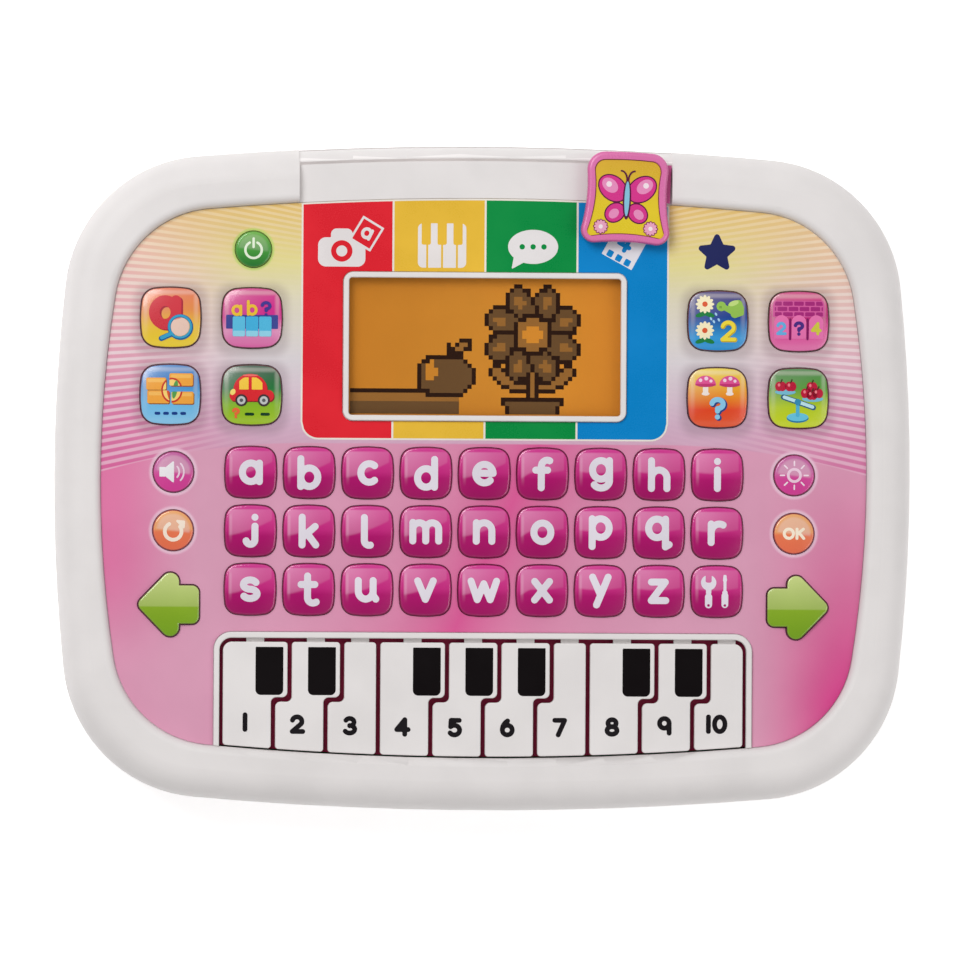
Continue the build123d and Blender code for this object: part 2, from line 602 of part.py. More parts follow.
door_back_y = DOOR_HINGE_Y + DOOR_THICKNESS / 2 + DOOR_CLEARANCE
with BuildPart() as rear_casing:
    with BuildSketch(Plane.XY.offset(FOOT_HEIGHT)):
        add(pillow(CASING))
    extrude(amount=SEAM_Z - FOOT_HEIGHT)
    fillet(rear_casing.faces().sort_by(Axis.Z)[0].edges(), REAR_EDGE_RADIUS)
    # Four moulded feet.
    with BuildSketch():
        with GridLocations(170, 118, 2, 2):
            SlotOverall(22, 8)
    extrude(amount=FOOT_HEIGHT + 0.5)
    fillet(rear_casing.faces().sort_by(Axis.Z)[:4].edges(), 0.4)
    add(rear_cavity.part, mode=Mode.SUBTRACT)
    # Battery bay, screw posts, door screw post and the rim that locates the speaker.
    with BuildSketch(Plane.XY.offset(FOOT_HEIGHT + 0.5)):
        with Locations((0, BAY_Y)):
            Rectangle(BAY_SIZE[0] + 2 * BAY_WALL, BAY_SIZE[1] + 2 * BAY_WALL)
    extrude(amount=BAY_CEILING_Z + 1.0 - FOOT_HEIGHT - 0.5)
    with BuildSketch(Plane.XY.offset(FOOT_HEIGHT + 0.5)):
        with Locations(*SCREW_SPOTS):
            Circle(BOSS_RADIUS)
        with Locations(SPEAKER_XY):
            Circle(SPEAKER_RADIUS + 2.0)
            Circle(SPEAKER_RADIUS + 0.4, mode=Mode.SUBTRACT)
    extrude(amount=SEAM_Z - FOOT_HEIGHT - 0.5)
    with BuildSketch(Plane.XY.offset(FOOT_HEIGHT + 0.5)):
        with Locations((0, DOOR_SCREW_Y)):
            Circle(BOSS_RADIUS)
    extrude(amount=9)
    # The bay's inside and its mouth.
    with BuildSketch(Plane.XY):
        with Locations((0, BAY_Y)):
            Rectangle(*BAY_SIZE)
    extrude(amount=BAY_CEILING_Z, mode=Mode.SUBTRACT)
    # The sunk seat of the door, and the holes for its two hinge pins.
    with BuildSketch(Plane.XY):
        with Locations((0, door_back_y)):
            Rectangle(
                2 * (DOOR_HALF_WIDTH + DOOR_CLEARANCE), door_back_y - DOOR_FRONT_Y + DOOR_CLEARANCE,
                align=(Align.CENTER, Align.MAX),
            )
    extrude(amount=FOOT_HEIGHT + DOOR_THICKNESS + 0.15, mode=Mode.SUBTRACT)
    with BuildSketch(Plane.YZ):
        with Locations((DOOR_HINGE_Y, DOOR_HINGE_Z)):
            Circle(DOOR_PIN_RADIUS + HINGE_CLEARANCE)
    extrude(amount=DOOR_HALF_WIDTH + DOOR_PIN_LENGTH + 0.4, both=True, mode=Mode.SUBTRACT)
    # Screw holes from below, the door screw's hole, and the speaker grille.
    with Locations(*[(x, y, SCREW_SEAT_Z) for x, y in SCREW_SPOTS]):
        Cylinder(SCREW_HEAD_RADIUS + 0.4, SCREW_SEAT_Z, align=(Align.CENTER, Align.CENTER, Align.MAX),
                 mode=Mode.SUBTRACT)
        Cylinder(SCREW_SHANK_RADIUS + 0.3, SEAM_Z, align=(Align.CENTER, Align.CENTER, Align.MIN),
                 mode=Mode.SUBTRACT)
    with Locations((0, DOOR_SCREW_Y)):
        Cylinder(1.9, 8.8, align=(Align.CENTER, Align.CENTER, Align.MIN), mode=Mode.SUBTRACT)
    with Locations((*SPEAKER_XY, FOOT_HEIGHT + WALL / 2)):
        Cylinder(1.0, 2 * WALL, mode=Mode.SUBTRACT)
        for ring_radius, holes in ((4.2, 6), (8.4, 12), (12.6, 18)):
            with PolarLocations(ring_radius, holes):
                Cylinder(1.0, 2 * WALL, mode=Mode.SUBTRACT)
    # The step that takes the front casing's lap.
    with BuildSketch(Plane.XY.offset(SEAM_Z - LAP_DEPTH - LAP_CLEARANCE)):
        add(pillow(CASING, LAP_CLEARANCE - WALL / 2))
        add(pillow(CASING, -WALL - 0.5), mode=Mode.SUBTRACT)
    extrude(amount=WALL, mode=Mode.SUBTRACT)
save(rear_casing.part, "rear_casing")

# ---- Battery door, with its captive screw ----

with BuildPart() as door_plate:
    with BuildSketch(Plane.XY.offset(FOOT_HEIGHT)) as plate:
        with Locations((0, DOOR_FRONT_Y)):
            Rectangle(2 * DOOR_HALF_WIDTH, DOOR_HINGE_Y - DOOR_FRONT_Y, align=(Align.CENTER, Align.MIN))
        fillet(plate.vertices().group_by(Axis.Y)[0], 2.0)
    extrude(amount=DOOR_THICKNESS)
    with BuildSketch(Plane.YZ):
        with Locations((DOOR_HINGE_Y, DOOR_HINGE_Z)):
            Circle(DOOR_THICKNESS / 2)
    extrude(amount=DOOR_HALF_WIDTH, both=True)
    with BuildSketch(Plane.YZ):
        with Locations((DOOR_HINGE_Y, DOOR_HINGE_Z)):
            Circle(DOOR_PIN_RADIUS)
    extrude(amount=DOOR_HALF_WIDTH + DOOR_PIN_LENGTH, both=True)
    # Grip ribs across the middle.
    with BuildSketch(Plane.XY.offset(FOOT_HEIGHT)):
        with Locations((0, BAY_Y)):
            with GridLocations(0, 2.4, 1, 5):
                SlotOverall(18, 1.0)
    extrude(amount=0.5, mode=Mode.SUBTRACT)
    with Locations((0, DOOR_SCREW_Y)):
        Cylinder(2.6, FOOT_HEIGHT + 0.9, align=(Align.CENTER, Align.CENTER, Align.MIN), mode=Mode.SUBTRACT)
        Cylinder(1.4, 6, mode=Mode.SUBTRACT)


def pan_screw(seat_z, length, head_radius, head_height, shank_radius):
    """A cross-head screw that points up, its head under seat_z."""
    with BuildPart() as screw:
        with Locations((0, 0, seat_z)):
            Cylinder(head_radius, head_height, align=(Align.CENTER, Align.CENTER, Align.MAX))
            fillet(screw.faces().sort_by(Axis.Z)[0].edges(), head_height * 0.4)
            Cylinder(shank_radius, length, align=(Align.CENTER, Align.CENTER, Align.MIN))
            chamfer(screw.faces().sort_by(Axis.Z)[-1].edges(), shank_radius * 0.5)
        with Locations((0, 0, seat_z - head_height)):
            Box(head_radius * 1.1, head_radius * 0.3, head_height, mode=Mode.SUBTRACT)
            Box(head_radius * 0.3, head_radius * 1.1, head_height, mode=Mode.SUBTRACT)
    return screw.part


door_screw = pan_screw(FOOT_HEIGHT + 0.95, 6.0, 2.3, 0.85, 1.15).moved(Location((0, DOOR_SCREW_Y, 0)))
save(Compound([door_plate.part, door_screw]), "battery_door")

# ---- Casing screws ----

casing_screw = pan_screw(
    SCREW_SEAT_Z, SCREW_LENGTH, SCREW_HEAD_RADIUS, SCREW_HEAD_HEIGHT, SCREW_SHANK_RADIUS
)
save(Compound([casing_screw.moved(Location((x, y, 0))) for x, y in SCREW_SPOTS]), "screws")

# ---- Electronics: board, switches, piano mat, display, speaker, cells and their contacts ----

with BuildPart() as board:
    with BuildSketch(Plane.XY.offset(BOARD_BOTTOM_Z)) as board_shape:
        with Locations((0, (BOARD_FRONT_Y + BOARD_BACK_Y) / 2)):
            RectangleRounded(2 * BOARD_HALF_WIDTH, BOARD_BACK_Y - BOARD_FRONT_Y, BOARD_CORNER_RADIUS)
        with Locations((0, BOARD_BACK_Y)):
            Rectangle(2 * BOARD_TONGUE_HALF_WIDTH, 2 * (BOARD_TONGUE_BACK_Y - BOARD_BACK_Y))
    extrude(amount=BOARD_TOP_Z - BOARD_BOTTOM_Z)

switch_places = [place for _, _, place in push_keys]
switch_places += [
    ((a + b) / 2, PIANO_PLUNGER_Y) for a, b in zip(piano_foot_edges, piano_foot_edges[1:])
]
with BuildPart() as switch:
    Cylinder(SWITCH_RADIUS, SWITCH_HEIGHT, align=(Align.CENTER, Align.CENTER, Align.MIN))
    chamfer(switch.faces().sort_by(Axis.Z)[-1].edges(), 0.9)
switches = [switch.part.moved(Location((x, y, BOARD_TOP_Z))) for x, y in switch_places]

with BuildPart() as lcd_tray:
    with BuildSketch(Plane.XY.offset(BOARD_TOP_Z)):
        with Locations((0, SCREEN_Y)):
            RectangleRounded(LCD_SIZE[0] + 2.4, LCD_SIZE[1] + 2.4, 1.0)
    extrude(amount=LCD_TOP_Z - BOARD_TOP_Z - 0.4)
    with BuildSketch(Plane.XY.offset(LCD_BOTTOM_Z)):
        with Locations((0, SCREEN_Y)):
            Rectangle(LCD_SIZE[0] + 0.2, LCD_SIZE[1] + 0.2)
    extrude(amount=LCD_TOP_Z, mode=Mode.SUBTRACT)

with BuildPart() as lcd_glass:
    with BuildSketch(Plane.XY.offset(LCD_BOTTOM_Z)):
        with Locations((0, SCREEN_Y)):
            Rectangle(*LCD_SIZE)
    extrude(amount=LCD_TOP_Z - LCD_BOTTOM_Z)

# Four sensors under the track, one for each stop of the slider's magnet.
with BuildPart() as sensor:
    Box(5.0, 1.8, 1.4, align=(Align.CENTER, Align.CENTER, Align.MIN))
    chamfer(sensor.faces().sort_by(Axis.Z)[-1].edges(), 0.3)
sensor_y = ARC_CENTRE_Y + MAGNET_ARC_RADIUS
stops = [SLIDER_X - i * SLIDER_PITCH for i in range(SLIDER_POSITIONS)]
sensors = [
    sensor.part.moved(Location((x, sensor_y - x**2 / (2 * MAGNET_ARC_RADIUS), BOARD_TOP_Z)))
    for x in stops
]

with BuildPart() as piano_mat:
    with BuildSketch(Plane.XY.offset(BOARD_TOP_Z)):
        add(piano_window(*PIANO_FRAME, -0.4))
    extrude(amount=PIANO_MAT_TOP_Z - BOARD_TOP_Z)
    with BuildSketch(Plane.XY.offset(BOARD_TOP_Z)):
        add(piano_window(*PIANO_FRAME, -2.0))
    extrude(amount=PIANO_MAT_BOTTOM_Z - BOARD_TOP_Z, mode=Mode.SUBTRACT)
    with Locations(*[(x, y, PIANO_MAT_TOP_Z) for x, y in switch_places[-PIANO_KEYS:]]):
        Cylinder(KEY_PLUNGER_RADIUS + 0.8, 2, mode=Mode.SUBTRACT)

with BuildPart() as chip:
    with Locations((40, -20, BOARD_BOTTOM_Z)):
        Cylinder(6, 1.4, align=(Align.CENTER, Align.CENTER, Align.MAX))
        fillet(chip.faces().sort_by(Axis.Z)[0].edges(), 1.1)

with BuildPart() as speaker_frame:
    with Locations((*SPEAKER_XY, REAR_FLOOR_Z)):
        Cylinder(SPEAKER_RADIUS, 2.2, align=(Align.CENTER, Align.CENTER, Align.MIN))
        Cone(SPEAKER_RADIUS - 1, 8.5, 6.0, align=(Align.CENTER, Align.CENTER, Align.MIN))
        Cone(SPEAKER_RADIUS - 2.6, 5.5, 5.0, align=(Align.CENTER, Align.CENTER, Align.MIN),
             mode=Mode.SUBTRACT)
with BuildPart() as speaker_magnet:
    with Locations((*SPEAKER_XY, REAR_FLOOR_Z + 6.05)):
        Cylinder(8.5, 3.4, align=(Align.CENTER, Align.CENTER, Align.MIN))

with BuildPart() as cell:
    Cylinder(CELL_RADIUS, CELL_LENGTH - 1.5, rotation=(0, 90, 0))
    fillet(cell.edges(), 0.8)
    with Locations((CELL_LENGTH / 2 - 0.9, 0, 0)):
        Cylinder(2.7, 2.2, rotation=(0, 90, 0))
cell_z = BAY_CEILING_Z - CELL_RADIUS - 0.2
cell_y = CELL_RADIUS + 0.3
cells = [
    cell.part.moved(Location((0, BAY_Y + cell_y, cell_z))),
    cell.part.moved(Location((0, BAY_Y - cell_y, cell_z), (0, 0, 180))),
]
with BuildPart() as contact:
    Box(0.5, 11.0, 11.0)
contacts = [
    contact.part.moved(Location((x, BAY_Y + y, cell_z)))
    for x in (-(BAY_SIZE[0] - 0.5) / 2, (BAY_SIZE[0] - 0.5) / 2)
    for y in (-cell_y, cell_y)
]


def contact_spring(x, y, end):
    """A short conical coil between a contact plate and the flat end of a cell."""
    turns, gap = 3, BAY_SIZE[0] / 2 - 0.5 - CELL_LENGTH / 2 + 0.75
    rings = []
    for turn in range(turns):
        with BuildPart() as ring:
            Torus(4.6 - 0.9 * turn, 0.45)
        along = x - end * (0.46 + (gap - 0.92) * turn / (turns - 1))
        rings.append(ring.part.moved(Location((along, y, cell_z), (0, 90, 0))))
    return rings


spring_x = BAY_SIZE[0] / 2 - 0.5
springs = contact_spring(-spring_x, BAY_Y + cell_y, -1) + contact_spring(spring_x, BAY_Y - cell_y, 1)

electronics = Compound(
    [board.part, *switches, *sensors, piano_mat.part, lcd_tray.part, lcd_glass.part, chip.part,
     speaker_frame.part, speaker_magnet.part, *cells, *contacts, *springs]
)
save(electronics, "electronics")
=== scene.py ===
import math

import bpy
import numpy as np
from mathutils import Matrix, Vector


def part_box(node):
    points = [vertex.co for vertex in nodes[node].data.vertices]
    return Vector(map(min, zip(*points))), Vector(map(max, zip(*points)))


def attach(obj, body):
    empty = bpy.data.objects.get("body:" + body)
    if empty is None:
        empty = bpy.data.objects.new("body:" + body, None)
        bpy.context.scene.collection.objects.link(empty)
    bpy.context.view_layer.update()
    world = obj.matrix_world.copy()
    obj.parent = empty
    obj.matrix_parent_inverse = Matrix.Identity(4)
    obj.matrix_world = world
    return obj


# Looks of a child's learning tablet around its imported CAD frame. Everything is in metres in
# Blender; helpers below take millimetres in the same frame: +X right, +Y to the slider, +Z up.
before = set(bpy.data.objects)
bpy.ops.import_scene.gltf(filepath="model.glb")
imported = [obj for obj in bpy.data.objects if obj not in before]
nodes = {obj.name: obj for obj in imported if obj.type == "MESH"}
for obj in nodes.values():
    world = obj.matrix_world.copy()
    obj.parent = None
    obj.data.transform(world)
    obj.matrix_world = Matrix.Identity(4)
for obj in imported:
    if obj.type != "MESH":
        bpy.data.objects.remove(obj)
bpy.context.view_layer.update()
MM = 0.001


def low(node):
    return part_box(node)[0] / MM


def high(node):
    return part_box(node)[1] / MM


def centre(node):
    return (low(node) + high(node)) / 2


# ---- Flat shapes: functions of x and y that are negative inside, in millimetres ----


def turned(x, y, cx, cy, degrees):
    a = math.radians(degrees)
    dx, dy = x - cx, y - cy
    return dx * math.cos(a) + dy * math.sin(a), dy * math.cos(a) - dx * math.sin(a)


def disc(cx, cy, radius):
    return lambda x, y: np.hypot(x - cx, y - cy) - radius


def oval(cx, cy, rx, ry, turn=0.0):
    def field(x, y):
        u, v = turned(x, y, cx, cy, turn)
        k = np.hypot(u / rx, v / ry)
        g = np.hypot(u / rx**2, v / ry**2)
        return k * (k - 1) / np.maximum(g, 1e-6)
    return field


def block(cx, cy, width, height, radius=0.0, turn=0.0):
    def field(x, y):
        u, v = turned(x, y, cx, cy, turn)
        qx, qy = np.abs(u) - width / 2 + radius, np.abs(v) - height / 2 + radius
        return np.hypot(np.maximum(qx, 0), np.maximum(qy, 0)) + np.minimum(np.maximum(qx, qy), 0) - radius
    return field


def polygon(points, radius=0.0):
    pts = np.array(points, float)

    def field(x, y):
        best = np.full(np.shape(x), 1e9)
        inside = np.zeros(np.shape(x), bool)
        for (ax, ay), (bx, by) in zip(pts, np.roll(pts, -1, axis=0)):
            ex, ey = bx - ax, by - ay
            t = np.clip(((x - ax) * ex + (y - ay) * ey) / (ex * ex + ey * ey), 0, 1)
            best = np.minimum(best, np.hypot(x - ax - t * ex, y - ay - t * ey))
            crosses = ((ay > y) != (by > y)) & (x < ax + ex * (y - ay) / (ey if ey else 1e-12))
            inside ^= crosses
        return np.where(inside, -best, best) - radius
    return field


def strokes(lines, half):
    def field(x, y):
        best = np.full(np.shape(x), 1e9)
        for line in lines:
            pairs = list(zip(line, line[1:])) or [(line[0], line[0])]
            for (ax, ay), (bx, by) in pairs:
                ex, ey = bx - ax, by - ay
                t = np.clip(((x - ax) * ex + (y - ay) * ey) / max(ex * ex + ey * ey, 1e-9), 0, 1)
                best = np.minimum(best, np.hypot(x - ax - t * ex, y - ay - t * ey))
        return best - half
    return field


def join(*fields):
    return lambda x, y: np.minimum.reduce([f(x, y) for f in fields])


def both(*fields):
    return lambda x, y: np.maximum.reduce([f(x, y) for f in fields])


def cut(field, *others):
    return lambda x, y: np.maximum.reduce([field(x, y)] + [-f(x, y) for f in others])


def grow(field, by):
    return lambda x, y: field(x, y) - by


def moved(field, dx, dy):
    return lambda x, y: field(x - dx, y - dy)


def arc(cx, cy, rx, ry, start, end, steps=18):
    angles = np.radians(np.linspace(start, end, steps))
    return [(cx + rx * math.cos(a), cy + ry * math.sin(a)) for a in angles]


def loop(cx, cy, rx, ry):
    return arc(cx, cy, rx, ry, 0, 360, 30)


# ---- A rounded stroke alphabet: centre lines, baseline at 0 and small letters 1 high ----

BOWL = loop(0.46, 0.5, 0.46, 0.5)
ARCH = arc(0.42, 0.56, 0.42, 0.44, 180, 0) + [(0.84, 0)]
GLYPHS = {
    "a": [BOWL, [(0.92, 1), (0.92, 0)]],
    "b": [[(0, 1.5), (0, 0)], BOWL],
    "c": [arc(0.46, 0.5, 0.46, 0.5, 52, 308, 26)],
    "d": [BOWL, [(0.92, 1.5), (0.92, 0)]],
    "e": [[(0.04, 0.52)] + arc(0.47, 0.5, 0.47, 0.5, 2, 312, 28)],
    "f": [[(0.3, 0), (0.3, 1.15)] + arc(0.62, 1.15, 0.32, 0.34, 180, 65), [(0, 0.95), (0.64, 0.95)]],
    "g": [BOWL, [(0.92, 1), (0.92, -0.08)] + arc(0.47, -0.08, 0.45, 0.4, 0, -145)],
    "h": [[(0, 1.5), (0, 0)], ARCH],
    "i": [[(0, 1), (0, 0)], [(0, 1.46), (0, 1.461)]],
    "j": [[(0.46, 0.98), (0.46, 0.25)] + arc(0.22, 0.25, 0.24, 0.25, 0, -165), [(0.46, 1.46), (0.46, 1.461)]],
    "k": [[(0, 1.5), (0, 0)], [(0.7, 1), (0.04, 0.42)], [(0.28, 0.6), (0.74, 0)]],
    "l": [[(0, 1.5), (0, 0.26)] + arc(0.26, 0.26, 0.26, 0.26, 180, 285)],
    "m": [[(0, 1), (0, 0)], arc(0.35, 0.64, 0.35, 0.34, 180, 0) + [(0.7, 0)],
          arc(1.05, 0.64, 0.35, 0.34, 180, 0) + [(1.4, 0)]],
    "n": [[(0, 1), (0, 0)], ARCH],
    "o": [BOWL],
    "p": [[(0, 1), (0, -0.5)], BOWL],
    "q": [BOWL, [(0.92, 1), (0.92, -0.5), (1.12, -0.38)]],
    "r": [[(0, 1), (0, 0)], arc(0.44, 0.54, 0.44, 0.46, 178, 62)],
    "s": [arc(0.4, 0.75, 0.36, 0.25, 28, 270) + arc(0.4, 0.25, 0.38, 0.25, 90, -150)],
    "t": [[(0.35, 1.46), (0.35, 0.3)] + arc(0.65, 0.3, 0.3, 0.3, 180, 305), [(0, 1), (0.74, 1)]],
    "u": [[(0, 1), (0, 0.44)] + arc(0.4, 0.44, 0.4, 0.44, 180, 360), [(0.8, 1), (0.8, 0.2), (0.95, 0)]],
    "v": [[(0, 1), (0.42, 0), (0.84, 1)]],
    "w": [[(0, 1), (0.34, 0), (0.69, 0.86), (1.04, 0), (1.38, 1)]],
    "x": [[(0, 1), (0.8, 0)], [(0.8, 1), (0, 0)]],
    "y": [[(0, 1), (0.42, 0.06)], [(0.84, 1), (0.22, -0.5)]],
    "z": [[(0, 1), (0.75, 1), (0, 0), (0.78, 0)]],
    "0": [loop(0.36, 0.5, 0.36, 0.5)],
    "1": [[(0, 1), (0, 0)]],
    "2": [arc(0.35, 0.69, 0.33, 0.31, 165, -32) + [(0.02, 0), (0.74, 0)]],
    "3": [arc(0.33, 0.75, 0.3, 0.25, 150, -90) + arc(0.33, 0.26, 0.35, 0.26, 90, -150)],
    "4": [[(0.78, 0.32), (0, 0.32), (0.55, 1), (0.55, 0)]],
    "5": [[(0.66, 1), (0.1, 1), (0.07, 0.56)] + arc(0.33, 0.33, 0.36, 0.33, 128, -145)],
    "6": [loop(0.36, 0.33, 0.34, 0.33), arc(0.78, 0.33, 0.76, 0.74, 122, 180)],
    "7": [[(0, 1), (0.68, 1), (0.24, 0)]],
    "8": [loop(0.35, 0.76, 0.28, 0.24), loop(0.35, 0.26, 0.34, 0.26)],
    "9": [loop(0.34, 0.67, 0.33, 0.33), [(0.67, 0.67), (0.67, 0)]],
    "?": [arc(0.33, 0.74, 0.32, 0.26, 172, -90) + [(0.33, 0.34)], [(0.33, 0), (0.33, 0.001)]],
    "O": [loop(0.5, 0.5, 0.5, 0.5)],
    "K": [[(0, 1), (0, 0)], [(0.7, 1), (0.06, 0.48)], [(0.22, 0.6), (0.74, 0)]],
}


def text(word, cx, cy, scale, half, gap=0.42, turn=0.0):
    """A word whose box is centred on a point. scale is the height of a small letter's centre line."""
    lines, pen = [], 0.0
    for letter in word:
        glyph = GLYPHS[letter]
        right = max(x for line in glyph for x, _ in line)
        lines += [[(pen + x, y) for x, y in line] for line in glyph]
        pen += right + gap
    xs = [x for line in lines for x, _ in line]
    ys = [y for line in lines for _, y in line]
    mx, my = (min(xs) + max(xs)) / 2, (min(ys) + max(ys)) / 2
    a = math.radians(turn)
    placed = []
    for line in lines:
        row = []
        for x, y in line:
            u, v = (x - mx) * scale, (y - my) * scale
            row.append((cx + u * math.cos(a) - v * math.sin(a), cy + u * math.sin(a) + v * math.cos(a)))
        placed.append(row)
    return strokes(placed, half)


# ---- Materials ----


def rgb(red, green, blue):
    """A display colour of 0 to 255 as linear light."""
    return tuple((c / 255 / 12.92) if c <= 10 else ((c / 255 + 0.055) / 1.055) ** 2.4
                 for c in (red, green, blue))


class Nodes:
    """A small writer of node trees: values are sockets or numbers, colours are display triples."""

    def __init__(self, name):
        self.material = bpy.data.materials.new(name)
        self.material.use_nodes = True
        self.tree = self.material.node_tree
        self.tree.nodes.clear()
        self.output = self.node("ShaderNodeOutputMaterial")
        self.shader = self.node("ShaderNodeBsdfPrincipled")
        self.link(self.shader.outputs[0], self.output.inputs[0])

    def node(self, kind, **settings):
        made = self.tree.nodes.new(kind)
        for key, value in settings.items():
            setattr(made, key, value)
        return made

    def link(self, source, target):
        self.tree.links.new(source, target)

    def put(self, value, socket):
        if isinstance(value, bpy.types.NodeSocket):
            self.link(value, socket)
        elif isinstance(value, tuple):
            socket.default_value = (*rgb(*value), 1.0)
        else:
            socket.default_value = value

    def math(self, operation, *values, clamp=False):
        made = self.node("ShaderNodeMath", operation=operation, use_clamp=clamp)
        for value, socket in zip(values, made.inputs):
            self.put(value, socket)
        return made.outputs[0]

    def times(self, a, b):
        return self.math("MULTIPLY", a, b)

    def plus(self, a, b):
        return self.math("ADD", a, b)

    def minus(self, a, b):
        return self.math("SUBTRACT", a, b)

    def size(self, a):
        return self.math("ABSOLUTE", a)

    def larger(self, a, b):
        return self.math("MAXIMUM", a, b)

    def length(self, a, b):
        return self.math("SQRT", self.plus(self.times(a, a), self.times(b, b)))

    def spread(self, value, start, end, first=0.0, last=1.0, smooth=True):
        kind = "SMOOTHSTEP" if smooth else "LINEAR"
        made = self.node("ShaderNodeMapRange", interpolation_type=kind, clamp=True)
        for v, key in ((value, 0), (start, 1), (end, 2), (first, 3), (last, 4)):
            self.put(v, made.inputs[key])
        return made.outputs[0]

    def mix(self, factor, a, b):
        made = self.node("ShaderNodeMix", data_type="RGBA")
        self.put(factor, made.inputs[0])
        self.put(a, made.inputs[6])
        self.put(b, made.inputs[7])
        return made.outputs[2]

    def ramp(self, value, stops):
        made = self.node("ShaderNodeValToRGB")
        ramp = made.color_ramp
        while len(ramp.elements) < len(stops):
            ramp.elements.new(0.5)
        for element, (place, colour) in zip(ramp.elements, stops):
            element.position = place
            element.color = (*rgb(*colour), 1.0)
        self.put(value, made.inputs[0])
        return made.outputs[0]

    def place(self):
        """The surface point in millimetres: x, y, z and the vector in metres."""
        vector = self.node("ShaderNodeTexCoord").outputs["Object"]
        split = self.node("ShaderNodeSeparateXYZ")
        self.link(vector, split.inputs[0])
        return [self.math("MULTIPLY", axis, 1000.0) for axis in split.outputs] + [vector]

    def noise(self, vector, scale, detail=3.0, rough=0.5):
        made = self.node("ShaderNodeTexNoise")
        self.link(vector, made.inputs["Vector"])
        made.inputs["Scale"].default_value = scale
        made.inputs["Detail"].default_value = detail
        made.inputs["Roughness"].default_value = rough
        return made.outputs[0]

    def upright(self):
        """How far the surface faces up, from -1 to 1."""
        split = self.node("ShaderNodeSeparateXYZ")
        self.link(self.node("ShaderNodeNewGeometry").outputs["Normal"], split.inputs[0])
        return split.outputs[2]

    def surface(self, colour, vector, rough=0.35, spread=0.06, bump=0.0, grain=2500.0, tint=0.05, coat=0.0,
                shine=0.5, glow=0.0):
        """Gives the shader its colour with a slight unevenness, its gloss and a fine grain."""
        self.shader.inputs["Specular IOR Level"].default_value = shine
        cloud = self.noise(vector, 55.0, 4.0)
        speck = self.noise(vector, grain, 2.0)
        shade = self.spread(cloud, 0.3, 0.7, 1.0 - tint, 1.0 + tint * 0.4)
        scaled = self.node("ShaderNodeMix", data_type="RGBA", blend_type="MULTIPLY")
        scaled.inputs[0].default_value = 1.0
        self.put(colour, scaled.inputs[6])
        self.link(self.tone(shade), scaled.inputs[7])
        self.link(scaled.outputs[2], self.shader.inputs["Base Color"])
        if glow:
            self.link(scaled.outputs[2], self.shader.inputs["Emission Color"])
            self.shader.inputs["Emission Strength"].default_value = glow
        uneven = self.math("ADD", cloud, self.math("MULTIPLY", speck, 0.5))
        roughness = self.spread(uneven, 0.45, 1.05, rough - spread, rough + spread)
        self.link(roughness, self.shader.inputs["Roughness"])
        if coat:
            self.shader.inputs["Coat Weight"].default_value = coat
            self.shader.inputs["Coat Roughness"].default_value = 0.12
        if bump:
            made = self.node("ShaderNodeBump")
            made.inputs["Strength"].default_value = bump
            made.inputs["Distance"].default_value = 0.00008
            self.link(speck, made.inputs["Height"])
            self.link(made.outputs[0], self.shader.inputs["Normal"])
        return self.material

    def tone(self, value):
        made = self.node("ShaderNodeCombineColor")
        for socket in made.inputs:
            self.put(value, socket)
        return made.outputs[0]


def paint(name, colour, rough=0.32, bump=0.12, tint=0.05, shine=0.5, glow=0.0):
    n = Nodes(name)
    return n.surface(colour, n.place()[3], rough, 0.06, bump, tint=tint, shine=shine, glow=glow)


def metal(name, colour, rough=0.3):
    n = Nodes(name)
    n.shader.inputs["Metallic"].default_value = 1.0
    return n.surface(colour, n.place()[3], rough, 0.1, 0.2, 1800.0, 0.12)


def moulded(name, top, shaded_low_colour):
    """Satin moulded plastic, with painted shade: darker low down on the side walls, where they turn from the
    light, and a fine spark texture.
    """
    n = Nodes(name)
    x, y, z, vector = n.place()
    # Painted shade: the side walls run from the top colour down to the shaded low colour.
    colour = n.mix(n.spread(z, 12.0, 27.5), shaded_low_colour, top)
    return n.surface(colour, vector, 0.46, 0.07, 0.25, 3200.0, 0.035, shine=0.25)


inks = {}


def ink(red, green, blue):
    """One printing ink, made once for each colour."""
    key = f"ink_{red}_{green}_{blue}"
    if key not in inks:
        inks[key] = paint(key, (red, green, blue), 0.3, 0.06, 0.06, shine=0.3)
    return inks[key]


WHITE_INK = (238, 235, 238)
# Dark colour for the square buttons' sloping sides: partly printed outline, partly painted shade of the gap.
OUTLINE_AND_GAP_SHADE = (96, 34, 44)
LETTER_HALF = 7.32
CAP_HALF = {"activity": 8.54, "round": 5.75, "power": 5.1, "arrow": 9.5}


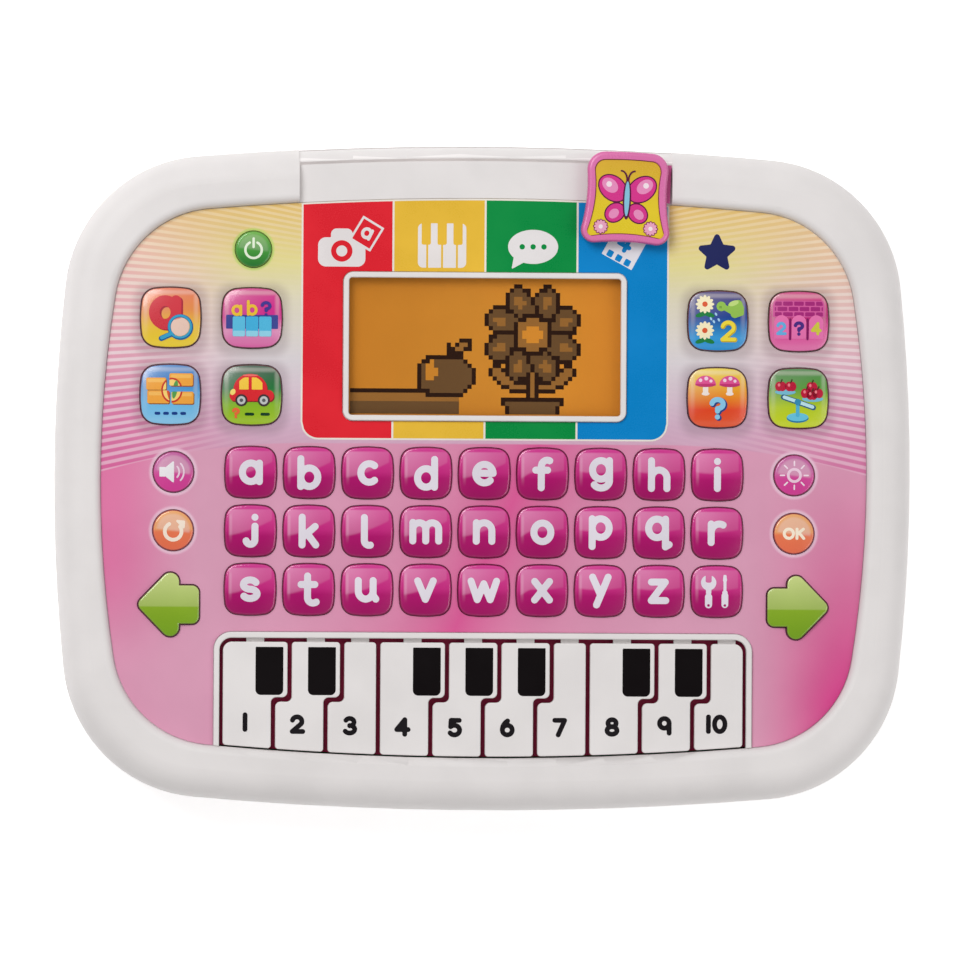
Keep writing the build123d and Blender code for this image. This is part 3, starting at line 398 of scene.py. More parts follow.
def cap(name, kind, middle, stops, outline_and_gap_shade, painted_gloss=0.30, low_gloss=0.4):
    """A push key's cap: printed gradient from foot to head, painted reflection and highlights on most kinds,
    and a dark edge on the sloping sides that is partly printed outline, partly painted shade of the gap.
    """
    n = Nodes(name)
    x, y, z, vector = n.place()
    if kind == "letters":
        u = n.minus(n.math("MODULO", n.plus(x, 4.5 * PITCH), PITCH), PITCH / 2)
        v = n.minus(n.math("MODULO", n.plus(y, 2.5 * PITCH - middle[1]), PITCH), PITCH / 2)
        half = LETTER_HALF
    else:
        u, v = n.minus(x, middle[0]), n.minus(y, middle[1])
        half = CAP_HALF[kind]
    colour = n.ramp(n.spread(v, -half, half, smooth=False), stops)
    across = n.times(u, u)
    if kind == "letters":
        # Painted reflection: a pale patch over the upper part of each letter key, where a softbox would show
        # in the glossy dome.
        slope = n.spread(x, 10.0, 14.0, 0.36, 0.02)
        line = n.plus(n.times(u, slope), n.times(across, 0.014))
        reflection_patch = n.spread(n.minus(v, line), -0.1, 0.8)
        fade = n.times(n.spread(v, -2.0, 6.0, 0.6, 1.0, smooth=False), n.spread(u, 7.0, -6.0, 0.45, 1.3))
        inner = n.spread(n.larger(n.size(u), n.size(v)), 6.3, 5.7)
        colour = n.mix(n.times(n.times(reflection_patch, inner), n.times(fade, painted_gloss)),
                       colour, (246, 190, 222))
        # Painted highlight: a pale streak down the left edge of each letter key.
        left_rim_highlight = n.times(n.spread(n.size(n.plus(u, 5.6)), 0.7, 0.1),
                     n.times(n.spread(v, 5.4, 3.8), n.spread(v, -4.0, 1.0)))
        colour = n.mix(n.times(left_rim_highlight, 0.2), colour, (250, 214, 232))
    elif kind == "activity":
        # Painted sheen: a pale veil growing towards the upper left.
        sheen_slant = n.minus(n.times(v, 0.8), n.times(u, 0.5))
        colour = n.mix(n.spread(sheen_slant, -2.0, 6.5, 0.0, 0.12), colour, (232, 226, 228))
        # Painted highlight: a pale band just inside the edge, strongest at the top.
        ring = n.larger(n.size(u), n.size(v))
        edge = n.times(n.spread(ring, 6.0, 7.0), n.spread(ring, 8.0, 7.3))
        edge = n.times(edge, n.spread(v, -7.0, 6.5, 0.1, 1.0))
        colour = n.mix(n.times(edge, 0.24), colour, (255, 246, 236))
    elif kind != "arrow":
        # Painted reflection: a pale patch over the upper half of the round caps.
        far = n.length(u, v)
        line = n.plus(v, n.times(u, 0.12))
        reflection_patch = n.times(n.spread(line, -0.5, 0.3), n.spread(far, half * 0.9, half * 0.72))
        colour = n.mix(n.times(reflection_patch, painted_gloss), colour, (240, 224, 226))
    # Dark sloping sides and fillet: partly the printed outline, partly painted shade of the gap round the
    # key.
    colour = n.mix(n.spread(n.upright(), 0.84, 0.72), colour, outline_and_gap_shade)
    return n.surface(colour, vector, 0.2, 0.05, 0.05, 2200.0, 0.05, coat=low_gloss)


# ---- Prints: thin closed skins that follow the surface they lie on ----


def contour(field, box, step):
    """The points and faces of the area where a field is negative, with smooth edges."""
    x0, y0, x1, y1 = box
    xs = x0 + step * np.arange(int(math.ceil((x1 - x0) / step)) + 1)
    ys = y0 + step * np.arange(int(math.ceil((y1 - y0) / step)) + 1)
    gx, gy = np.meshgrid(xs, ys, indexing="ij")
    d = field(gx, gy)
    small = 0.04 * step
    d = np.where(np.abs(d) < small, np.where(d < 0, -small, small), d)
    d[0, :] = np.maximum(d[0, :], small)
    d[-1, :] = np.maximum(d[-1, :], small)
    d[:, 0] = np.maximum(d[:, 0], small)
    d[:, -1] = np.maximum(d[:, -1], small)
    inside = d < 0
    points, ids, faces = [], {}, []

    def number(key, px, py):
        if key not in ids:
            ids[key] = len(points)
            points.append((px, py))
        return ids[key]

    touched = inside[:-1, :-1] | inside[1:, :-1] | inside[1:, 1:] | inside[:-1, 1:]
    for i, j in np.argwhere(touched).tolist():
        ring = ((i, j), (i + 1, j), (i + 1, j + 1), (i, j + 1))
        face = []
        for k in range(4):
            a, b = ring[k], ring[(k + 1) % 4]
            if inside[a]:
                face.append(number(a, xs[a[0]], ys[a[1]]))
            if inside[a] != inside[b]:
                t = d[a] / (d[a] - d[b])
                px = xs[a[0]] + t * (xs[b[0]] - xs[a[0]])
                py = ys[a[1]] + t * (ys[b[1]] - ys[a[1]])
                face.append(number((min(a, b), max(a, b)), px, py))
        faces.append(face)
    return np.array(points), faces


class Print:
    """One printed piece: layers of ink, each a closed skin just proud of the last."""

    def __init__(self, name, body, slot, surface, origin=(0.0, 0.0), turn=0.0):
        self.name, self.body, self.slot = name, body, slot
        self.surface, self.origin, self.turn = surface, origin, math.radians(turn)
        self.points, self.faces, self.inks, self.slots, self.count = [], [], [], [], 0

    def lay(self, field, box, colour, step=0.2, level=None):
        """Prints the area where a field is negative."""
        return self.skin(*contour(field, box, step), colour, level)

    def band(self, xs, low_y, high_y, colour, level=None):
        """Prints between two curves over a run of x."""
        xs = np.asarray(xs, float)
        points = np.concatenate([np.stack([xs, y(xs)], axis=1) for y in (low_y, high_y)])
        n = len(xs)
        return self.skin(points, [[i, i + 1, n + i + 1, n + i] for i in range(n - 1)], colour, level)

    def skin(self, points, faces, colour, level=None):
        if not len(points):
            return self
        level = self.count if level is None else level
        self.count = max(self.count, level + 1)
        c, s = math.cos(self.turn), math.sin(self.turn)
        x = self.origin[0] + points[:, 0] * c - points[:, 1] * s
        y = self.origin[1] + points[:, 0] * s + points[:, 1] * c
        z = self.surface(x, y)
        lift = 0.03 + 0.025 * level
        start, n = len(self.points), len(points)
        self.points += list(zip(x, y, z + lift)) + list(zip(x, y, z - 0.05))
        sides = {}
        for face in faces:
            for a, b in zip(face, face[1:] + face[:1]):
                sides[(a, b)] = True
        walls = [(a, b) for a, b in sides if (b, a) not in sides]
        made = [[start + i for i in face] for face in faces]
        made += [[start + n + i for i in reversed(face)] for face in faces]
        made += [[start + b, start + a, start + n + a, start + n + b] for a, b in walls]
        material = colour if isinstance(colour, bpy.types.Material) else ink(*colour)
        if material not in self.inks:
            self.inks.append(material)
        self.faces += made
        self.slots += [self.inks.index(material)] * len(made)
        return self

    def make(self):
        mesh = bpy.data.meshes.new(self.name)
        mesh.from_pydata([(x * MM, y * MM, z * MM) for x, y, z in self.points], [], self.faces)
        for material in self.inks:
            mesh.materials.append(material)
        mesh.polygons.foreach_set("material_index", self.slots)
        mesh.polygons.foreach_set("use_smooth", [True] * len(mesh.polygons))
        mesh.set_sharp_from_angle(angle=math.radians(40))
        mesh.update()
        made = bpy.data.objects.new(self.name, mesh)
        bpy.context.scene.collection.objects.link(made)
        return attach(made, self.body)


def level_at(z):
    return lambda x, y: np.full(np.shape(x), float(z))


def dome_of(node, radius):
    """The height of a key's domed top over any point."""
    c, top = centre(node), high(node).z
    return lambda x, y: top - radius + np.sqrt(radius**2 - (x - c.x) ** 2 - (y - c.y) ** 2)


def box_around(cx, cy, half_x, half_y=None):
    half_y = half_x if half_y is None else half_y
    return (cx - half_x, cy - half_y, cx + half_x, cy + half_y)


# ---- Casing ----

PITCH = 16.4
# The slider's track is an arc about this point of the Y axis.
ARC_Y = 93.5 - 950.0
GROOVE_RADIUS = 946.0
WHITE = (233, 229, 228)
# Each moulded plastic's second colour is painted shade for its lower side walls.
SHADED_SHELL = (206, 200, 199)
white_shell = moulded("white_shell", WHITE, SHADED_SHELL)
rear_shell = moulded("rear_shell", (212, 206, 205), (206, 200, 199))
white_key = moulded("white_key", (234, 230, 229), (205, 195, 196))


def dress(node, *materials):
    mesh = nodes[node].data
    mesh.materials.clear()
    for material in materials:
        mesh.materials.append(material)


dress("front_casing", white_shell)
dress("rear_casing", rear_shell)
dress("battery_door", rear_shell, metal("door_screw_steel", (170, 170, 172)))
dress("screws", metal("screw_steel", (165, 165, 168)))
for k in range(1, 11):
    dress(f"piano_key_{k:02d}", white_key)
for face in nodes["battery_door"].data.polygons:
    face.material_index = 1 if abs(face.center.x) < 0.0024 and 0.0024 < face.center.y < 0.0072 \
        and math.hypot(face.center.x, face.center.y - 0.0048) < 0.00232 else 0


# Painted light: the narrow groove at the foot of the lip glows faintly, standing in for light the white
# plastic scatters into it.
nodes["front_casing"].data.materials.append(paint("groove_glow_shell", WHITE, 0.5, glow=0.16))
for face in nodes["front_casing"].data.polygons:
    x, y, z = face.center / MM
    off_groove = abs(math.hypot(x, y - ARC_Y) - GROOVE_RADIUS)
    in_groove = 25.8 < z < 27.75 and y > 79 and abs(x) < 52.5 and off_groove < 1.1
    face.material_index = 1 if in_groove else 0


def faceplate_print():
    """The panel: printed striped fans above a bowed line and plain pink below it, and painted soft shadow
    round the square keys.
    """
    n = Nodes("faceplate_print")
    x, y, z, vector = n.place()
    side = n.size(x)
    # Upper part: a column of colours in the middle and another at the edges.
    height = n.spread(y, 3.0, 78.0, smooth=False)
    inner = n.ramp(height, [(0.0, (213, 158, 188)), (0.17, (214, 180, 202)), (0.4, (224, 217, 221)),
                            (0.62, (228, 221, 196)), (0.76, (232, 222, 150)), (1.0, (230, 190, 112))])
    outer = n.ramp(height, [(0.0, (216, 100, 156)), (0.2, (220, 124, 168)), (0.4, (228, 160, 182)),
                            (0.62, (234, 180, 186)), (0.8, (236, 186, 176)), (1.0, (232, 196, 140))])
    pale = n.ramp(height, [(0.0, (234, 186, 208)), (0.4, (240, 222, 226)), (0.7, (242, 226, 214)),
                           (1.0, (246, 224, 178))])
    reach = n.spread(side, 60.0, 106.0)
    right = n.spread(x, 0.0, 40.0, 1.0, 0.72)
    upper = n.mix(n.times(reach, right), inner, outer)
    angle = n.math("ARCTAN2", n.minus(y, 46.0), n.plus(side, 85.0))
    wave = n.math("SINE", n.times(angle, 600.0))
    drift = n.noise(vector, 30.0, 1.0)
    stripe = n.spread(n.plus(wave, n.times(drift, 0.6)), -0.1, 0.9)
    strength = n.larger(n.spread(side, 62.0, 104.0, 0.08, 0.8), n.spread(y, 58.0, 74.0, 0.0, 0.5))
    upper = n.mix(n.times(stripe, strength), upper, pale)
    # Lower part: pink that deepens in a slanting beam, to the upper left and to the lower right.
    beam = n.size(n.minus(n.minus(x, n.times(y, 0.45)), 11.1))
    beam = n.math("POWER", 2.718, n.math("DIVIDE", beam, -25.0))
    left_deep = n.times(n.spread(x, -78.0, -106.0), n.spread(y, -58.0, -22.0, 0.2, 1.0))
    right_deep = n.times(n.spread(x, 70.0, 103.0), n.spread(y, 4.0, -62.0, 0.12, 1.0, smooth=False))
    lower = n.mix(beam, (222, 163, 189), (223, 91, 154))
    lower = n.mix(left_deep, lower, (226, 120, 168))
    lower = n.mix(right_deep, lower, (218, 60, 140))
    bow = n.times(n.math("POWER", n.larger(n.minus(side, 50.0), 0.0), 2.0), 0.0025)
    above = n.spread(n.plus(y, bow), 9.4, 9.8)
    colour = n.mix(above, lower, upper)
    # Painted soft shadow round the square buttons, where their shade falls on the panel, and printed pale
    # rings round the small ones.
    du = n.size(n.minus(n.size(n.minus(side, 76.9)), 11.4))
    dv = n.size(n.minus(n.size(n.minus(y, 33.2)), 10.8))
    du = n.larger(n.minus(du, 5.6), 0.0)
    dv = n.larger(n.minus(dv, 5.6), 0.0)
    away = n.length(du, dv)
    colour = n.mix(n.spread(away, 3.0, 6.4, 0.3, 0.0), colour, (118, 92, 104))
    ru = n.minus(side, 87.3)
    rv = n.minus(n.size(n.plus(y, 6.9)), 8.2)
    ring = n.length(ru, rv)
    colour = n.mix(n.spread(ring, 6.2, 7.2, 0.8, 0.0), colour, (240, 206, 224))
    pu, pv = n.plus(x, 65.2), n.minus(y, 63.9)
    glow = n.length(pu, pv)
    colour = n.mix(n.spread(glow, 5.5, 6.3, 0.8, 0.0), colour, (190, 220, 110))
    return n.surface(colour, vector, 0.34, 0.05, 0.08, 2400.0, 0.03)


dress("faceplate", faceplate_print())

# ---- Caps ----

letter_cap = cap("letter_cap", "letters", (0.0, 1.3),
                 [(0.0, (160, 12, 96)), (0.4, (180, 16, 110)), (0.52, (202, 40, 130)),
                  (0.8, (214, 58, 144)), (1.0, (216, 60, 150))], (138, 10, 76))
for name in nodes:
    if name.startswith("key_"):
        dress(name, letter_cap)

# Shades of the square buttons from foot to head, and how far up the two middle ones lie.
ACTIVITY_SHADES = {
    "button_find_letter": ((0.35, 0.62), (242, 214, 52), (243, 200, 62), (238, 150, 80), (240, 116, 74)),
    "button_next_letter": ((0.28, 0.5), (222, 96, 166), (232, 150, 196), (216, 52, 150), (218, 26, 138)),
    "button_picture_puzzle": ((0.35, 0.75), (142, 206, 242), (110, 190, 238), (46, 130, 204), (60, 138, 208)),
    "button_spelling": ((0.34, 0.6), (168, 204, 36), (140, 190, 40), (36, 122, 60), (10, 76, 48)),
    "button_count_to_ten": ((0.22, 0.55), (26, 146, 214), (60, 160, 224), (24, 70, 154), (54, 34, 118)),
    "button_next_number": ((0.35, 0.6), (234, 122, 180), (226, 78, 156), (190, 22, 118), (220, 34, 132)),
    "button_memory": ((0.3, 0.6), (234, 92, 48), (234, 74, 36), (242, 160, 34), (246, 222, 48)),
    "button_compare": ((0.35, 0.65), (204, 218, 36), (184, 208, 36), (84, 160, 44), (44, 130, 44)),
}
for name, (marks, *shades) in ACTIVITY_SHADES.items():
    c = centre(name)
    stops = list(zip((0.0, *marks, 1.0), shades))
    dress(name, cap(f"{name}_cap", "activity", (c.x, c.y), stops, OUTLINE_AND_GAP_SHADE))

PINK_STOPS = [(0.0, (214, 60, 150)), (0.42, (216, 74, 156)), (0.6, (206, 110, 170)), (1.0, (196, 96, 160))]
ORANGE_STOPS = [(0.0, (236, 112, 78)), (0.46, (238, 124, 84)), (0.54, (240, 164, 106)),
                (1.0, (242, 176, 112))]
GREEN_STOPS = [(0.0, (36, 118, 50)), (0.5, (74, 158, 62)), (1.0, (120, 186, 84))]
for name, stops, edge in (
    ("button_volume", PINK_STOPS, (150, 40, 100)), ("button_backlight", PINK_STOPS, (150, 30, 90)),
    ("button_repeat", ORANGE_STOPS, (170, 70, 70)), ("button_ok", ORANGE_STOPS, (160, 60, 60)),
    ("button_power", GREEN_STOPS, (92, 160, 60)),
):
    c = centre(name)
    kind = "power" if name == "button_power" else "round"
    dress(name, cap(f"{name}_cap", kind, (c.x, c.y), stops, edge, painted_gloss=0.14 if kind == "power" else 0.3))

ARROW_STOPS = [(0.0, (120, 166, 30)), (0.46, (140, 178, 42)), (0.48, (170, 194, 100)), (1.0, (206, 220, 140))]
for name in ("button_arrow_left", "button_arrow_right"):
    c = centre(name)
    dress(name, cap(f"{name}_cap", "arrow", (c.x, c.y), ARROW_STOPS, (74, 26, 30)))

# ---- Letters ----

for name in sorted(nodes):
    if not name.startswith("key_"):
        continue
    c = centre(name)
    skin = Print(f"{name}_print", name, "magenta_plastic", dome_of(name, 45.0), (c.x, c.y))
    if name == "key_settings":
        wrench = join(strokes([[(-2.3, 1.0), (-2.3, -0.6)]], 0.75), block(-2.3, -2.9, 2.0, 4.2, 1.0),
                      cut(disc(-2.3, 2.2, 2.15), block(-2.3, 3.9, 1.7, 3.4, 0.5)))
        driver = join(block(2.3, -2.7, 1.9, 4.4, 0.95), strokes([[(2.3, 0), (2.3, 3.2)]], 0.42),
                      polygon([(1.8, 2.8), (2.8, 2.8), (2.6, 4.3), (2.0, 4.3)], 0.1),
                      block(2.3, -0.6, 1.5, 1.0, 0.4))
        tools = cut(join(wrench, driver), disc(-2.3, -4.2, 0.38), disc(2.3, -4.2, 0.38))
        skin.lay(moved(tools, 0, 0.3), box_around(0, 0, 5.6), (232, 226, 236), 0.18)
    else:
        skin.lay(text(name[-1], 0, 0, 5.2, 0.98), box_around(0, 0, 5.9), (230, 224, 234), 0.2)
    skin.make()

# ---- Pictures on the square buttons, about each button's middle ----

INNER = box_around(0, 0, 7.4)
WINDOW = block(0, 0, 14.6, 14.6, 3.2)


def leaf(cx, cy, length, width, turn):
    return oval(cx, cy, length / 2, width / 2, turn)


def daisy(cx, cy, radius):
    reach = radius * 0.6
    petals = [oval(cx + reach * math.cos(a), cy + reach * math.sin(a), radius * 0.42, radius * 0.2,
                   math.degrees(a)) for a in np.linspace(0, 2 * math.pi, 13)[:-1]]
    return join(disc(cx, cy, radius * 0.5), *petals)


def find_letter(p):
    a = text("a", -1.6, 1.4, 6.6, 1.5)
    p.lay(moved(a, 0.5, -0.35), INNER, (176, 48, 66), 0.2)
    p.lay(a, INNER, (214, 62, 74), 0.2)
    handles = strokes([[(0.3, -4.6), (-2.6, -5.9)]], 0.75), strokes([[(0.2, -4.5), (-2.5, -5.7)]], 0.5)
    p.lay(join(cut(disc(2.7, -2.7, 3.6), disc(2.7, -2.7, 2.7)), handles[0]), INNER, (28, 98, 158), 0.16)
    p.lay(join(cut(disc(2.6, -2.55, 3.35), disc(2.6, -2.55, 2.75)), handles[1]), INNER, (60, 166, 208), 0.16)
    lens = disc(2.6, -2.6, 2.6)
    p.lay(lens, INNER, (240, 206, 190), 0.2)
    p.lay(both(lens, polygon([(-1, -1.2), (6, 0.6), (6, 3), (-1, 3)])), INNER, (228, 142, 130), 0.2)


def next_letter(p):
    p.lay(both(block(0, -1.1, 20, 3.9), WINDOW), INNER, (66, 74, 152), 0.25)
    for k, tone in zip((-1, 0, 1), ((96, 196, 232), (72, 182, 228), (86, 190, 230))):
        p.lay(block(3.7 * k, -2.4, 3.5, 5.6, 0.4), INNER, tone, 0.25, 2)
        p.lay(block(3.7 * k, -4.4, 3.3, 1.6, 0.3), INNER, (150, 218, 240), 0.25, 3)
    p.lay(text("a", -4.3, 2.1, 2.4, 0.42), INNER, (240, 196, 58), 0.16, 4)
    p.lay(text("b", 0.0, 2.8, 2.4, 0.42), INNER, (240, 196, 58), 0.16, 4)
    p.lay(text("?", 3.9, 2.6, 3.4, 0.46), INNER, (70, 58, 148), 0.16, 4)


def picture_puzzle(p):
    tiles = [(-4.0, 3.0, 5.6, 3.4), (-3.4, -0.7, 6.2, 3.6), (3.4, -0.9, 6.2, 3.4), (3.0, 4.2, 6.6, 3.5)]
    for cx, cy, w, h in tiles:
        p.lay(block(cx + 0.25, cy - 0.3, w, h, 0.5), INNER, (150, 92, 48), 0.22, 0)
        p.lay(block(cx, cy, w, h, 0.4), INNER, (244, 168, 66), 0.22, 1)
        p.lay(block(cx, cy + h * 0.26, w * 0.86, h * 0.3, 0.3), INNER, (250, 190, 96), 0.22, 2)
    whole = join(*[block(cx, cy, w, h, 0.4) for cx, cy, w, h in tiles])
    p.lay(both(cut(oval(0.4, 1.2, 3.0, 3.5), oval(0.4, 1.2, 2.5, 3.0)), whole), INNER, (206, 62, 48), 0.16, 3)
    p.lay(both(oval(0.4, 1.2, 2.5, 3.0), whole), INNER, (250, 214, 120), 0.16, 3)
    p.lay(both(oval(-0.5, 1.2, 0.55, 2.8, 8), whole), INNER, (222, 84, 52), 0.16, 4)
    p.lay(both(oval(1.3, 1.4, 0.7, 2.6, -10), whole), INNER, (86, 160, 84), 0.16, 4)
    for k in range(4):
        p.lay(block(-3.6 + 2.4 * k, -5.3, 1.6, 0.8, 0.35), INNER, (22, 62, 136), 0.18, 3)


def spelling(p):
    body = join(block(0.0, -0.2, 12.4, 3.2, 1.5), oval(-0.4, 1.6, 4.7, 4.3))
    car = both(body, block(0, 2.6, 14, 8.6))
    p.lay(moved(car, 0.25, -0.3), INNER, (138, 26, 40), 0.2)
    p.lay(car, INNER, (222, 42, 50), 0.2)
    p.lay(both(oval(-0.4, 1.8, 3.8, 3.4), block(-2.2, 3.2, 2.6, 3.4)), INNER, (250, 206, 70), 0.18, 2)
    p.lay(both(oval(-0.4, 1.8, 3.8, 3.4), block(1.5, 3.2, 3.0, 3.4)), INNER, (250, 206, 70), 0.18, 2)
    p.lay(oval(-0.4, 5.5, 2.2, 0.28), INNER, (240, 112, 104), 0.16, 2)
    p.lay(oval(-5.3, 0.8, 0.7, 0.9, -30), INNER, (252, 226, 120), 0.16, 2)
    for x in (-2.9, 3.4):
        p.lay(disc(x, -1.5, 1.7), INNER, (66, 52, 56), 0.16, 3)
        p.lay(disc(x, -1.5, 1.15), INNER, (196, 200, 200), 0.14, 4)
        p.lay(disc(x, -1.5, 0.5), INNER, (92, 96, 100), 0.12, 5)
    p.lay(text("?", -4.4, -5.1, 2.2, 0.4), INNER, (240, 110, 60), 0.14, 2)
    for x in (-0.6, 3.8):
        p.lay(block(x, -5.4, 2.6, 0.8, 0.35), INNER, (18, 62, 36), 0.18, 2)


def count_to_ten(p):
    for cy in (4.7, -2.7):
        leaves = join(leaf(-4.7, cy - 2.9, 3.4, 1.3, 18), leaf(-2.6, cy - 2.9, 3.4, 1.3, -18))
        p.lay(leaves, INNER, (30, 128, 66), 0.18, 0)
        p.lay(daisy(-3.7, cy, 2.55), INNER, (250, 240, 200), 0.14, 1)
        p.lay(disc(-3.7, cy, 0.75), INNER, (224, 92, 52), 0.12, 2)
    spout = strokes([[(4.0, 2.6), (1.4, 4.0)]], 0.75)
    can = join(block(5.2, 3.4, 4.2, 4.6, 1.2, 20), spout, disc(0.9, 4.1, 1.35))
    p.lay(both(can, WINDOW), INNER, (150, 196, 84), 0.18, 1)
    p.lay(both(oval(4.4, 5.0, 1.5, 0.7, 20), WINDOW), INNER, (196, 224, 130), 0.16, 2)
    for k in range(4):
        p.lay(disc(0.5 + 0.35 * (k % 2), 3.7 + 0.35 * (k // 2), 0.13), INNER, (60, 110, 50), 0.08, 2)
    for x, y in ((-0.6, 1.9), (-2.0, 0.6), (0.2, 0.3), (-1.2, -0.2)):
        p.lay(oval(x, y, 0.3, 0.5, 30), INNER, (170, 214, 244), 0.1, 3)
    p.lay(text("2", 3.1, -2.9, 4.8, 0.68), INNER, (206, 178, 40), 0.16, 1)
    p.lay(text("2", 2.95, -2.75, 4.8, 0.5), INNER, (246, 222, 66), 0.16, 2)


def next_number(p):
    p.lay(both(block(0, 3.5, 20, 4.6), WINDOW), INNER, (214, 92, 160), 0.25, 0)
    for row in range(3):
        for k in range(-3, 4):
            brick = block(k * 3.1 + (row % 2) * 1.55, 5.0 - row * 1.5, 2.7, 1.15, 0.2)
            p.lay(both(brick, block(0, 0, 13.6, 13.6, 2.4)), INNER, (168, 40, 122), 0.2, 1)
    for k in (-1, 0, 1):
        arch = join(disc(k * 4.9, -0.3, 2.05), block(k * 4.9, -2.6, 4.1, 4.6))
        p.lay(both(arch, WINDOW), INNER, (234, 116, 178), 0.2, 2)
    for k in (-1, 1):
        p.lay(strokes([[(k * 2.45, 0.6), (k * 2.45, -5.0)]], 0.28), INNER, (130, 20, 96), 0.16, 3)
    p.lay(text("2", -4.9, -2.0, 2.9, 0.42), INNER, (104, 176, 226), 0.14, 4)
    p.lay(text("?", 0.0, -2.0, 3.1, 0.48), INNER, (74, 44, 130), 0.14, 4)
    p.lay(text("4", 4.9, -2.0, 2.9, 0.42), INNER, (210, 206, 66), 0.14, 4)


def memory(p):
    for cx in (-3.4, 3.4):
        p.lay(join(block(cx, 2.4, 1.5, 3.2, 0.6), oval(cx, 1.1, 1.1, 0.5)), INNER, (244, 232, 224), 0.18, 0)
        hood = both(oval(cx, 3.6, 2.9, 2.6), block(cx, 5.1, 6, 3.4))
        p.lay(hood, INNER, (226, 84, 150), 0.18, 1)
        p.lay(both(oval(cx, 3.7, 2.8, 0.7), block(cx, 3.3, 6, 1.2)), INNER, (196, 52, 116), 0.16, 2)
        for dx, dy, r in ((-1.4, 4.9, 0.5), (0.2, 5.4, 0.55), (1.5, 4.7, 0.45)):
            p.lay(disc(cx + dx, dy, r), INNER, (248, 214, 230), 0.12, 3)
    p.lay(text("?", 0.35, -3.2, 4.9, 0.85), INNER, (42, 66, 132), 0.16, 0)
    p.lay(text("?", 0.0, -2.95, 4.9, 0.72), INNER, (142, 204, 236), 0.16, 1)


def compare(p):
    p.lay(oval(-0.2, -5.6, 3.1, 1.3), INNER, (36, 120, 160), 0.18, 0)
    p.lay(oval(-0.2, -5.3, 3.0, 1.15), INNER, (104, 196, 224), 0.18, 1)
    p.lay(strokes([[(-0.2, -1.2), (-0.2, -4.8)]], 0.5), INNER, (80, 178, 214), 0.16, 2)
    p.lay(strokes([[(-4.2, 0.3), (4.2, -2.6)]], 0.75), INNER, (36, 92, 130), 0.16, 2)
    p.lay(strokes([[(-4.0, 0.3), (4.0, -2.45)]], 0.48), INNER, (190, 228, 236), 0.16, 3)
    p.lay(disc(-0.2, -1.1, 0.9), INNER, (52, 140, 180), 0.14, 4)
    p.lay(oval(-3.7, 1.7, 2.9, 0.75), INNER, (120, 190, 214), 0.16, 1)
    p.lay(oval(4.0, -0.2, 3.0, 0.8), INNER, (120, 190, 214), 0.16, 1)
    for x, y in ((-5.0, 3.3), (-2.2, 3.3), (2.2, 1.4), (5.4, 1.4), (3.8, 0.9), (3.8, 3.2)):
        p.lay(join(oval(x - 0.45, y, 1.1, 1.35), oval(x + 0.45, y, 1.1, 1.35)), INNER, (190, 24, 58), 0.16, 2)
        p.lay(oval(x - 0.5, y + 0.4, 0.35, 0.45), INNER, (240, 130, 140), 0.1, 3)
        p.lay(strokes([[(x, y + 1.1), (x + 0.35, y + 1.9)]], 0.16), INNER, (70, 44, 30), 0.1, 3)


PICTURES = {
    "button_find_letter": find_letter, "button_next_letter": next_letter,
    "button_picture_puzzle": picture_puzzle, "button_spelling": spelling,
    "button_count_to_ten": count_to_ten, "button_next_number": next_number,
    "button_memory": memory, "button_compare": compare,
}
for name, draw in PICTURES.items():
    c = centre(name)
    skin = Print(f"{name}_print", name, "activity_plastic", dome_of(name, 45.0), (c.x, c.y))
    draw(skin)
    skin.make()

# ---- Signs on the small round buttons ----

ROUND_BOX = box_around(0, 0, 5.2)


def volume(p):
    cone = polygon([(-2.2, -1.0), (-0.1, -2.7), (-0.1, 2.7), (-2.2, 1.0)], 0.25)
    p.lay(join(block(-3.1, 0, 1.7, 2.7, 0.2), cone), ROUND_BOX, WHITE_INK, 0.14)
    waves = strokes([arc(-0.6, 0, 2.2, 2.2, -42, 42), arc(-0.6, 0, 3.5, 3.5, -42, 42)], 0.24)
    p.lay(waves, ROUND_BOX, (240, 214, 230), 0.12)


def repeat(p):
    ring = strokes([arc(0, -0.3, 2.35, 2.35, 118, 395, 26)], 0.52)
    head = polygon([(1.2, 2.6), (3.0, 2.4), (2.9, 0.9)], 0.35)
    p.lay(join(ring, head), ROUND_BOX, (248, 232, 214), 0.13)


def backlight(p):
    p.lay(cut(disc(0, 0, 2.1), disc(0, 0, 1.35)), ROUND_BOX, (240, 206, 226), 0.13)
    rays = [[(2.8 * math.cos(a), 2.8 * math.sin(a)), (3.9 * math.cos(a), 3.9 * math.sin(a))]
            for a in np.linspace(0, 2 * math.pi, 9)[:-1]]
    p.lay(strokes(rays, 0.22), ROUND_BOX, (244, 222, 234), 0.12)


def ok(p):
    p.lay(text("OK", 0, 0, 2.6, 0.42, 0.38), ROUND_BOX, (250, 236, 214), 0.13)


def power(p):
    sign = strokes([arc(0, -0.2, 2.3, 2.3, 118, 422, 28), [(0, 0.6), (0, 3.0)]], 0.34)
    p.lay(sign, ROUND_BOX, (232, 244, 220), 0.13)


for name, draw in (("button_volume", volume), ("button_repeat", repeat), ("button_backlight", backlight),
                   ("button_ok", ok), ("button_power", power)):
    c = centre(name)
    skin = Print(f"{name}_print", name, "orange_plastic", dome_of(name, 30.0), (c.x, c.y))
    draw(skin)
    skin.make()

# ---- Piano keys: black pads and numbers ----

